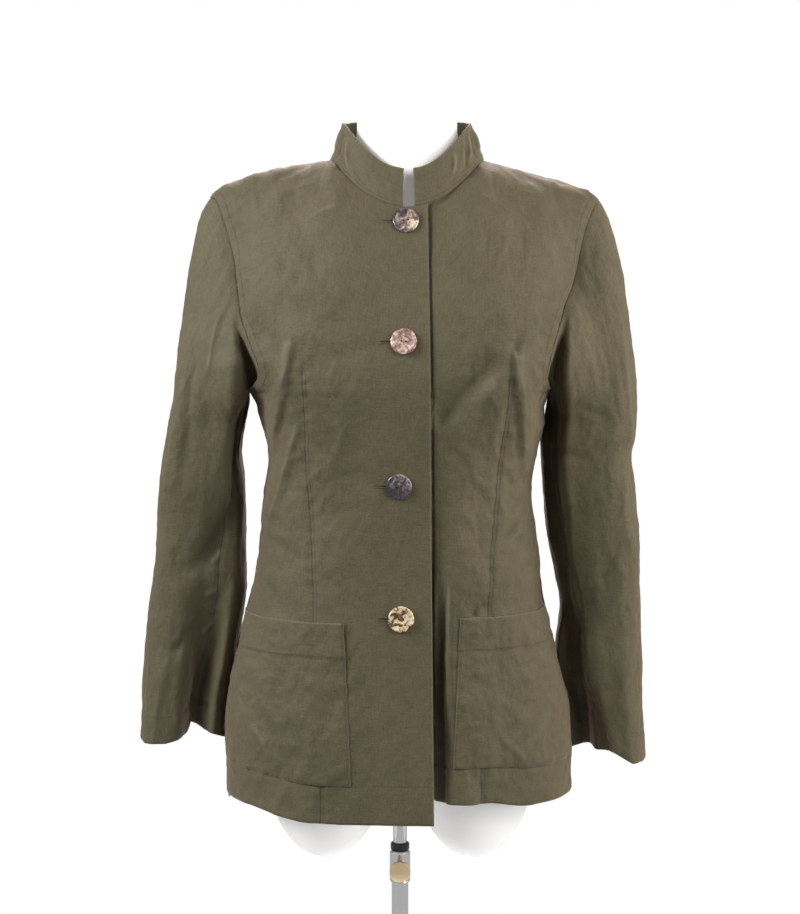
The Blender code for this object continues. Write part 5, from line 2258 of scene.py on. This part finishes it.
@dataclass
class Studio:
    """Camera, lights and floor."""

    aim: Triple = (0.0, 0.0, 0.645)
    distance: float = 2.4
    elevation: float = 5.0
    lens: float = 94.53
    ambient: float = 0.03
    gloss: float = 0.55
    floor_radius: float = 0.40
    lamps: tuple[Lamp, ...] = (
        Lamp((-2.05, -0.75, 1.60), 0.75, 0.90, 27.0),
        Lamp((-1.25, -0.50, 1.40), 0.80, 0.60, 14.0),
        Lamp((-1.55, -1.50, 1.50), 0.70, 1.00, 12.0),
        Lamp((2.10, 0.10, 1.40), 0.70, 0.80, 28.0, (1.0, 0.92, 0.86)),
        Lamp((1.55, -1.45, 1.45), 0.70, 1.00, 4.0, (1.0, 0.97, 0.94)),
        Lamp((0.95, -1.05, 1.40), 0.75, 0.80, 12.5, (1.0, 0.97, 0.94)),
        Lamp((1.90, -0.90, 0.60), 0.65, 0.80, 15.0),
        Lamp((0.0, 1.80, 2.00), 0.60, 1.20, 39.0),
    )

    def build(self) -> None:
        """Set up the camera, the lights, the background and the floor."""
        scene = bpy.context.scene
        camera = bpy.data.cameras.new("camera")
        camera.lens = self.lens
        camera.sensor_width = 36.0
        item = link(bpy.data.objects.new("camera", camera))
        rise = math.radians(self.elevation)
        item.location = Vector(self.aim) + self.distance * Vector((0.0, -math.cos(rise), math.sin(rise)))
        item.rotation_euler = (math.pi / 2 - rise, 0.0, 0.0)
        scene.camera = item
        for number, lamp in enumerate(self.lamps):
            lamp.build(f"soft_lamp_{number + 1}")
        self.background(scene)
        self.floor()
        scene.view_settings.view_transform = "Standard"
        scene.view_settings.look = "None"

    def background(self, scene: Scene) -> None:
        """White to the camera, dimmer as light.

        Args:
            scene: The scene.
        """
        world = bpy.data.worlds.new("studio")
        world.use_nodes = True
        maker = NodeMaker(world.node_tree)
        shader = world.node_tree.nodes["Background"]
        shader.inputs["Color"].default_value = colour(1.0, 1.0, 1.0)
        rays = maker.add("ShaderNodeLightPath").outputs
        mirrored = maker.math("MULTIPLY_ADD", rays["Is Glossy Ray"], self.gloss - self.ambient, self.ambient)
        strength = maker.math("MULTIPLY_ADD", rays["Is Camera Ray"], 1.0 - self.ambient, mirrored)
        maker.feed(shader.inputs["Strength"], strength)
        scene.world = world

    def floor(self) -> None:
        """A small pale round of floor under the stand."""
        made, maker, shader = new_material("pale_floor")
        place = maker.place()
        grey = maker.mix(maker.noise(place, 4.0), colour(0.90, 0.90, 0.90), colour(0.94, 0.94, 0.94))
        maker.feed(shader.inputs["Base Color"], grey)
        shader.inputs["Roughness"].default_value = 0.8
        edge = self.floor_radius
        profile = ((0.0, -0.004), (edge, -0.004), (edge, -0.0005), (0.0, -0.0005))
        turned("floor", profile, made, segments=128)


# Creases of the fronts, back and pockets lie on (sideways, height), those of the sleeves on
# (degrees around, height) and those of the collar on (along, up) from its left end
RIGHT_FRONT_CREASES = crease_rows(
    (((-0.103, 0.772), (-0.114, 0.713), (-0.127, 0.650)), 0.0046, 0.0045, 0.009, (0.12, 0.25)),
    (((-0.098, 0.772), (-0.105, 0.718), (-0.115, 0.670)), -0.0008, 0.010, 0.006),
    (((-0.099, 0.692), (-0.109, 0.644), (-0.122, 0.603), (-0.138, 0.556)), 0.0040, 0.0045, 0.009, (0.2, 0.3)),
    (((-0.152, 0.792), (-0.128, 0.768), (-0.108, 0.752)), -0.0028, 0.010, 0.010),
    (((-0.050, 0.720), (-0.046, 0.640), (-0.044, 0.560)), -0.0012, 0.016, 0.018),
    (((-0.068, 0.700), (-0.066, 0.610), (-0.062, 0.520)), 0.0016, 0.012, 0.010),
    (((-0.010, 0.765), (-0.040, 0.757), (-0.072, 0.742)), -0.0012, 0.008, 0.008),
    (((-0.014, 0.628), (-0.042, 0.634), (-0.070, 0.648)), -0.0014, 0.007, 0.009),
    (((-0.060, 0.930), (-0.100, 0.914), (-0.140, 0.898)), 0.0018, 0.006, 0.008),
    (((-0.058, 0.922), (-0.092, 0.914), (-0.130, 0.900)), 0.0013, 0.0022, 0.0040, (0.2, 0.4)),
    (((-0.060, 0.908), (-0.086, 0.903), (-0.114, 0.893)), 0.0012, 0.0022, 0.0040, (0.2, 0.4)),
    (((-0.056, 0.896), (-0.078, 0.888), (-0.098, 0.876)), 0.0010, 0.0024, 0.0040, (0.2, 0.4)),
    (((-0.056, 0.918), (-0.092, 0.896), (-0.126, 0.872)), -0.0020, 0.008, 0.008),
    (((-0.040, 0.905), (-0.070, 0.870), (-0.096, 0.828)), -0.0014, 0.012, 0.012),
    (((-0.140, 0.848), (-0.090, 0.815), (-0.030, 0.800)), 0.0020, 0.008, 0.014),
    (((-0.120, 0.812), (-0.080, 0.786), (-0.034, 0.778)), -0.0016, 0.008, 0.010),
    (((-0.150, 0.585), (-0.120, 0.566), (-0.095, 0.556)), -0.0016, 0.006, 0.008),
    (((-0.030, 0.470), (-0.028, 0.400), (-0.020, 0.305)), -0.0020, 0.012, 0.016, (0.4, 0.0)),
)
LEFT_FRONT_CREASES = crease_rows(
    (((0.097, 0.759), (0.061, 0.720), (0.030, 0.680)), -0.0062, 0.010, 0.014, (0.3, 0.2)),
    (((0.098, 0.742), (0.070, 0.700), (0.044, 0.662)), 0.0028, 0.008, 0.010, (0.3, 0.3)),
    (((0.110, 0.760), (0.116, 0.690), (0.125, 0.610)), 0.0050, 0.009, 0.0040, (0.08, 0.4)),
    (((0.104, 0.748), (0.111, 0.690), (0.120, 0.630)), -0.0008, 0.005, 0.006, (0.2, 0.4)),
    (((0.116, 0.785), (0.110, 0.750), (0.106, 0.730)), -0.0024, 0.005, 0.006),
    (((0.118, 0.592), (0.108, 0.578), (0.098, 0.568)), -0.0026, 0.004, 0.006),
    (((0.066, 0.494), (0.076, 0.506), (0.090, 0.518)), -0.0030, 0.006, 0.006),
    (((0.058, 0.660), (0.056, 0.590), (0.060, 0.520)), 0.0022, 0.014, 0.012),
    (((0.130, 0.640), (0.116, 0.628), (0.100, 0.622)), -0.0018, 0.006, 0.006),
    (((0.075, 0.930), (0.115, 0.914), (0.152, 0.896)), 0.0020, 0.008, 0.006),
    (((0.074, 0.922), (0.106, 0.913), (0.140, 0.900)), 0.0012, 0.0040, 0.0022, (0.2, 0.4)),
    (((0.072, 0.906), (0.096, 0.899), (0.120, 0.888)), 0.0011, 0.0040, 0.0022, (0.2, 0.4)),
    (((0.072, 0.918), (0.108, 0.895), (0.140, 0.868)), -0.0022, 0.008, 0.008),
    (((0.165, 0.806), (0.145, 0.776), (0.126, 0.760)), -0.0026, 0.010, 0.010),
    (((0.060, 0.900), (0.084, 0.860), (0.104, 0.815)), -0.0014, 0.012, 0.012),
    (((0.160, 0.850), (0.120, 0.806), (0.066, 0.772)), 0.0022, 0.010, 0.016),
    (((0.130, 0.870), (0.092, 0.832), (0.050, 0.806)), -0.0018, 0.010, 0.012),
    (((0.034, 0.560), (0.035, 0.440), (0.037, 0.310)), 0.0022, 0.0022, 0.0020, (0.3, 0.0)),
    (((0.041, 0.520), (0.0405, 0.420), (0.043, 0.310)), -0.0024, 0.0020, 0.0022, (0.3, 0.0)),
    (((0.047, 0.545), (0.046, 0.470), (0.048, 0.380)), 0.0020, 0.0022, 0.0024, (0.3, 0.3)),
    (((0.060, 0.470), (0.062, 0.400), (0.066, 0.312)), 0.0030, 0.010, 0.012, (0.4, 0.0)),
)
BACK_CREASES = crease_rows(
    (((0.166, 0.450), (0.166, 0.390), (0.166, 0.336)), -0.0040, 0.007, 0.006, (0.2, 0.1)),
    (((-0.170, 0.460), (-0.171, 0.423), (-0.170, 0.386)), -0.0040, 0.006, 0.007, (0.3, 0.3)),
    (((0.085, 0.790), (0.078, 0.690), (0.072, 0.590), (0.078, 0.480)), -0.0040, 0.018, 0.022),
    (((-0.085, 0.790), (-0.080, 0.690), (-0.074, 0.590), (-0.080, 0.480)), -0.0042, 0.022, 0.018),
    (((0.030, 0.640), (0.026, 0.560), (0.030, 0.470)), 0.0030, 0.016, 0.020),
    (((-0.034, 0.650), (-0.030, 0.560), (-0.036, 0.470)), 0.0028, 0.020, 0.016),
    (((0.118, 0.640), (0.060, 0.622), (0.000, 0.628)), -0.0020, 0.009, 0.011),
    (((-0.120, 0.612), (-0.070, 0.600), (-0.020, 0.606)), -0.0022, 0.010, 0.010),
    (((0.060, 0.470), (0.066, 0.390), (0.070, 0.300)), 0.0040, 0.022, 0.020, (0.4, 0.0)),
    (((-0.050, 0.470), (-0.056, 0.390), (-0.060, 0.300)), 0.0038, 0.020, 0.024, (0.4, 0.0)),
    (((0.140, 0.800), (0.110, 0.770), (0.086, 0.755)), -0.0024, 0.010, 0.010),
    (((-0.140, 0.802), (-0.112, 0.772), (-0.090, 0.757)), -0.0024, 0.010, 0.010),
)
RIGHT_SLEEVE_CREASES = crease_rows(
    (((148, 0.602), (122, 0.574), (98, 0.546), (58, 0.520)), -0.0060, 0.012, 0.010, (0.25, 0.4)),
    (((96, 0.764), (102, 0.750), (109, 0.734), (117, 0.716), (128, 0.695), (134, 0.675),
      (136, 0.646), (134, 0.614), (130, 0.585)), 0.0070, 0.004, 0.022, (0.2, 0.3)),
    (((69, 0.800), (74, 0.775), (79, 0.750), (83, 0.728)), 0.0022, 0.003, 0.003, (0.3, 0.3)),
    (((106, 0.502), (84, 0.466), (64, 0.444)), -0.0032, 0.008, 0.006),
    (((30, 0.720), (36, 0.650), (34, 0.580)), 0.0018, 0.010, 0.012),
    (((40, 0.800), (52, 0.750), (58, 0.704), (70, 0.655), (66, 0.595)), -0.0028, 0.010, 0.010),
    (((126, 0.520), (112, 0.512), (96, 0.508)), 0.0014, 0.004, 0.004),
    (((128, 0.556), (116, 0.546), (104, 0.541)), 0.0012, 0.004, 0.004),
    (((124, 0.486), (112, 0.474), (100, 0.468)), 0.0014, 0.004, 0.004),
    (((62, 0.470), (56, 0.420), (50, 0.362)), 0.0020, 0.010, 0.010, (0.4, 0.0)),
    (((20, 0.600), (8, 0.540), (-10, 0.500)), -0.0032, 0.012, 0.012),
    (((-30, 0.640), (-60, 0.590), (-100, 0.560)), -0.0042, 0.012, 0.012),
    (((-60, 0.760), (-70, 0.680), (-80, 0.600)), 0.0030, 0.016, 0.016),
    (((-80, 0.500), (-90, 0.430), (-84, 0.362)), 0.0040, 0.018, 0.018, (0.4, 0.0)),
)
LEFT_SLEEVE_CREASES = crease_rows(
    (((106, 0.755), (121, 0.716), (126, 0.690), (124, 0.620), (126, 0.562)),
     0.0036, 0.008, 0.010, (0.3, 0.3)),
    (((22, 0.820), (26, 0.802), (34, 0.764), (39, 0.724), (34, 0.679), (16, 0.635)),
     0.0022, 0.0060, 0.0100, (0.45, 0.5)),
    (((12, 0.810), (20, 0.764), (24, 0.724), (18, 0.679)), -0.0016, 0.005, 0.006, (0.3, 0.3)),
    (((96, 0.518), (78, 0.538), (56, 0.566)), -0.0018, 0.006, 0.008, (0.3, 0.4)),
    (((-8, 0.760), (-12, 0.700), (-10, 0.645)), 0.0044, 0.012, 0.012),
    (((70, 0.790), (76, 0.720), (72, 0.640)), -0.0016, 0.010, 0.012),
    (((140, 0.660), (110, 0.650), (84, 0.648)), -0.0016, 0.005, 0.006),
    (((112, 0.700), (92, 0.694), (70, 0.690)), -0.0012, 0.004, 0.005),
    (((40, 0.640), (46, 0.590), (40, 0.540)), 0.0016, 0.008, 0.009),
    (((110, 0.500), (106, 0.430), (102, 0.345)), 0.0030, 0.010, 0.010, (0.3, 0.0)),
    (((60, 0.470), (58, 0.410), (54, 0.340)), 0.0026, 0.012, 0.014, (0.4, 0.0)),
    (((-30, 0.630), (-60, 0.585), (-100, 0.560)), -0.0042, 0.012, 0.012),
    (((-60, 0.760), (-70, 0.680), (-80, 0.600)), 0.0030, 0.016, 0.016),
    (((-80, 0.500), (-90, 0.430), (-84, 0.340)), 0.0040, 0.018, 0.018, (0.4, 0.0)),
)
COLLAR_CREASES = crease_rows(
    (((0.084, 0.004), (0.088, 0.020), (0.090, 0.036)), -0.0034, 0.003, 0.004),
    (((0.096, 0.006), (0.098, 0.022), (0.099, 0.038)), 0.0030, 0.002, 0.003),
    (((0.074, 0.008), (0.078, 0.022), (0.080, 0.036)), 0.0024, 0.002, 0.003),
    (((0.062, 0.004), (0.070, 0.016), (0.072, 0.030)), -0.0024, 0.003, 0.003),
    (((0.046, 0.010), (0.052, 0.022), (0.054, 0.034)), 0.0018, 0.002, 0.003),
    (((0.104, 0.006), (0.107, 0.020), (0.109, 0.036)), -0.0014, 0.002, 0.003),
    (((0.364, 0.004), (0.360, 0.020), (0.358, 0.036)), -0.0026, 0.003, 0.004),
    (((0.352, 0.006), (0.350, 0.022), (0.349, 0.038)), 0.0024, 0.002, 0.003),
    (((0.388, 0.004), (0.378, 0.018), (0.372, 0.034)), 0.0018, 0.002, 0.003),
    (((0.340, 0.006), (0.343, 0.020), (0.342, 0.036)), -0.0016, 0.002, 0.003),
    (((0.400, 0.004), (0.394, 0.018), (0.392, 0.032)), -0.0008, 0.006, 0.006),
    (((0.225, 0.004), (0.226, 0.038)), -0.0008, 0.010, 0.010),
)
RIGHT_POCKET_CREASES = crease_rows(
    (((-0.150, 0.405), (-0.134, 0.376), (-0.118, 0.346)), 0.0026, 0.006, 0.009, (0.4, 0.4)),
    (((-0.140, 0.412), (-0.120, 0.380), (-0.104, 0.348)), -0.0018, 0.009, 0.006, (0.4, 0.4)),
    (((-0.090, 0.462), (-0.086, 0.400), (-0.080, 0.345)), 0.0014, 0.010, 0.010),
)
LEFT_POCKET_CREASES = crease_rows(
    (((0.146, 0.430), (0.118, 0.392), (0.088, 0.356)), -0.0034, 0.010, 0.012),
    (((0.152, 0.412), (0.128, 0.376), (0.106, 0.350)), 0.0024, 0.008, 0.010),
    (((0.070, 0.455), (0.074, 0.400), (0.072, 0.352)), 0.0014, 0.010, 0.010),
)
SHELLS = (
    ShellFinish(
        "grey_shell", Slot.GREY_SHELL,
        ((0.018, 0.013, 0.013), (0.110, 0.080, 0.080), (0.24, 0.17, 0.15), (0.70, 0.58, 0.40)),
        (0.38, 0.47, 0.56, 0.64), (0.31, 0.02, 0.11), (7.0, -4.5),
    ),
    ShellFinish(
        "rose_shell", Slot.ROSE_SHELL,
        ((0.070, 0.034, 0.026), (0.22, 0.13, 0.105), (0.42, 0.26, 0.21), (0.74, 0.62, 0.55)),
        (0.37, 0.45, 0.53, 0.62), (0.12, 0.27, 0.05), (0.0, 2.0), 0.62,
    ),
    ShellFinish(
        "dark_shell", Slot.DARK_SHELL,
        ((0.017, 0.013, 0.017), (0.050, 0.038, 0.046), (0.17, 0.135, 0.140), (0.56, 0.45, 0.40)),
        (0.40, 0.50, 0.57, 0.66), (0.44, 0.13, 0.31), (6.5, 6.0), 0.55,
    ),
    ShellFinish(
        "cream_shell", Slot.CREAM_SHELL,
        ((0.030, 0.016, 0.007), (0.13, 0.060, 0.020), (0.60, 0.46, 0.25), (0.80, 0.71, 0.52)),
        (0.40, 0.465, 0.50, 0.60), (0.07, 0.41, 0.22), (0.0, 0.0), 0.80,
    ),
)


@dataclass
class Jacket:
    """The whole jacket: fronts, back, sleeves, collar, pockets, buttons and stitches."""

    right: FrontPanel = field(
        default_factory=lambda: FrontPanel(
            "front_right", (0.273, 0.703), 0.155, side=Side.RIGHT, creases=RIGHT_FRONT_CREASES, seed=3,
            dart=((-0.093, 0.740), (-0.091, 0.678), (-0.089, 0.628), (-0.086, 0.563), (-0.083, 0.496),
                  (-0.076, 0.336), (-0.077, 0.300)),
        )
    )
    left: FrontPanel = field(
        default_factory=lambda: FrontPanel(
            "front_left", (0.275, 0.685), 0.147, side=Side.LEFT, creases=LEFT_FRONT_CREASES, seed=13,
            dart=((0.106, 0.742), (0.101, 0.690), (0.094, 0.622), (0.088, 0.556), (0.085, 0.498),
                  (0.078, 0.350), (0.078, 0.300)),
        )
    )

    def panels(self) -> list[Panel]:
        """The cut pieces in the order of making, the fronts before their pockets.

        Returns:
            The pieces.
        """
        right_seam = ((158, 0.690), (150, 0.655), (142, 0.608), (122, 0.545), (120, 0.501), (116, 0.460),
                      (104, 0.410), (93, 0.361))
        left_seam = ((158, 0.690), (150, 0.640), (140, 0.590), (132, 0.540), (126, 0.490), (116, 0.440),
                     (102, 0.390), (90, 0.338))
        return [
            self.right,
            self.left,
            BackPanel("back_panel", (0.468, 0.692), 0.264, creases=BACK_CREASES),
            Sleeve("sleeve_right", (0.34, 0.56), 0.141, held=Hold.HUNG, side=Side.RIGHT, seam=right_seam,
                   creases=RIGHT_SLEEVE_CREASES, seed=21, flatness=4.0,
                   cuff_rise=((0, 0.0), (30, -0.004), (70, -0.003), (97, 0.002), (103, 0.012), (130, 0.008),
                              (165, 0.0), (300, 0.003))),
            Sleeve("sleeve_left", (0.34, 0.58), 0.151, held=Hold.HUNG, side=Side.LEFT, seam=left_seam,
                   creases=LEFT_SLEEVE_CREASES, seed=31,
                   cuff_rise=((0, 0.0), (56, 0.0), (88, 0.014), (130, 0.012), (166, 0.008), (220, 0.003),
                              (320, 0.0))),
            Collar("collar_band", (0.469, 0.037), 0.016, wall=COLLAR_WALL, creases=COLLAR_CREASES),
            Pocket("pocket_right", (0.191, 0.160), 0.029, held=Hold.LAID, rests_on=("front_right",),
                   front=self.right, creases=RIGHT_POCKET_CREASES),
            Pocket("pocket_left", (0.185, 0.154), 0.026, held=Hold.LAID, rests_on=("front_left",),
                   front=self.left, creases=LEFT_POCKET_CREASES),
        ]

    def build(self) -> None:
        """Make every piece."""
        cotton = ClothFinish().build()
        panels = self.panels()
        for panel in panels:
            panel.build(cotton)
        thread = ThreadFinish("olive_thread", (0.135, 0.120, 0.080)).build()
        lines = [along_line(line) for panel in panels for line in panel.stitch_lines() if len(line) > 3]
        Stitching("seam_stitches", 0.0032, 0.0026, 0.00024).build(lines, thread)
        self.fasten(thread)

    def fasten(self, thread: Material) -> None:
        """Buttons with their threads, and buttonholes.

        Args:
            thread: Material of the thread.
        """
        front = self.right.grid
        places = ((0.0055, 0.8790, 3.0, 12.0), (0.0036, 0.7650, -2.0, -8.0),
                  (-0.0010, 0.6270, 2.0, 15.0), (0.0010, 0.4990, -3.0, 4.0))
        buttons = [
            ShellButton(f"button_{number + 1}", *place, SHELLS[number]) for number, place in enumerate(places)
        ]
        holes = [Buttonhole(button.x, button.z) for button in buttons]
        for button in buttons:
            button.build(front)
        ties = [button.thread_line(front) for button in buttons]
        Stitching("button_threads", 0.004, 0.0056, 0.00065).build(ties, thread)
        bars = [line for hole in holes for line in hole.lines(front)]
        pale = ThreadFinish("buttonhole_thread", (0.115, 0.100, 0.064)).build()
        Stitching("buttonhole_stitches", 0.00072, 0.0024, 0.00036).build(bars, pale)
        # The slits are near-black strips of painted shadow laid on the cloth
        dark = ThreadFinish("slit_shadow", (0.010, 0.009, 0.006), 0.9).build()
        build_slits(holes, front, dark)


def main() -> None:
    """Build the jacket, its form, the stand and the studio."""
    logging.basicConfig(level=logging.INFO, format="%(name)s: %(message)s")
    Jacket().build()
    # The white skin has a painted glow, so the form looks brighter than the lamps light it
    DressForm().build(SmoothFinish("white_skin", (0.93, 0.925, 0.92), 0.0, 0.42, painted_glow=0.20).build())
    chrome = SmoothFinish("polished_chrome", (0.72, 0.72, 0.73), 1.0, 0.16, 0.05, 0.05).build()
    black = SmoothFinish("black_plastic", (0.020, 0.020, 0.021), 0.0, 0.40).build()
    Stand().build(chrome, black, SmoothFinish("warm_satin_metal", (0.72, 0.57, 0.34), 1.0, 0.34).build())
    Studio().build()


if __name__ == "__main__":
    main()
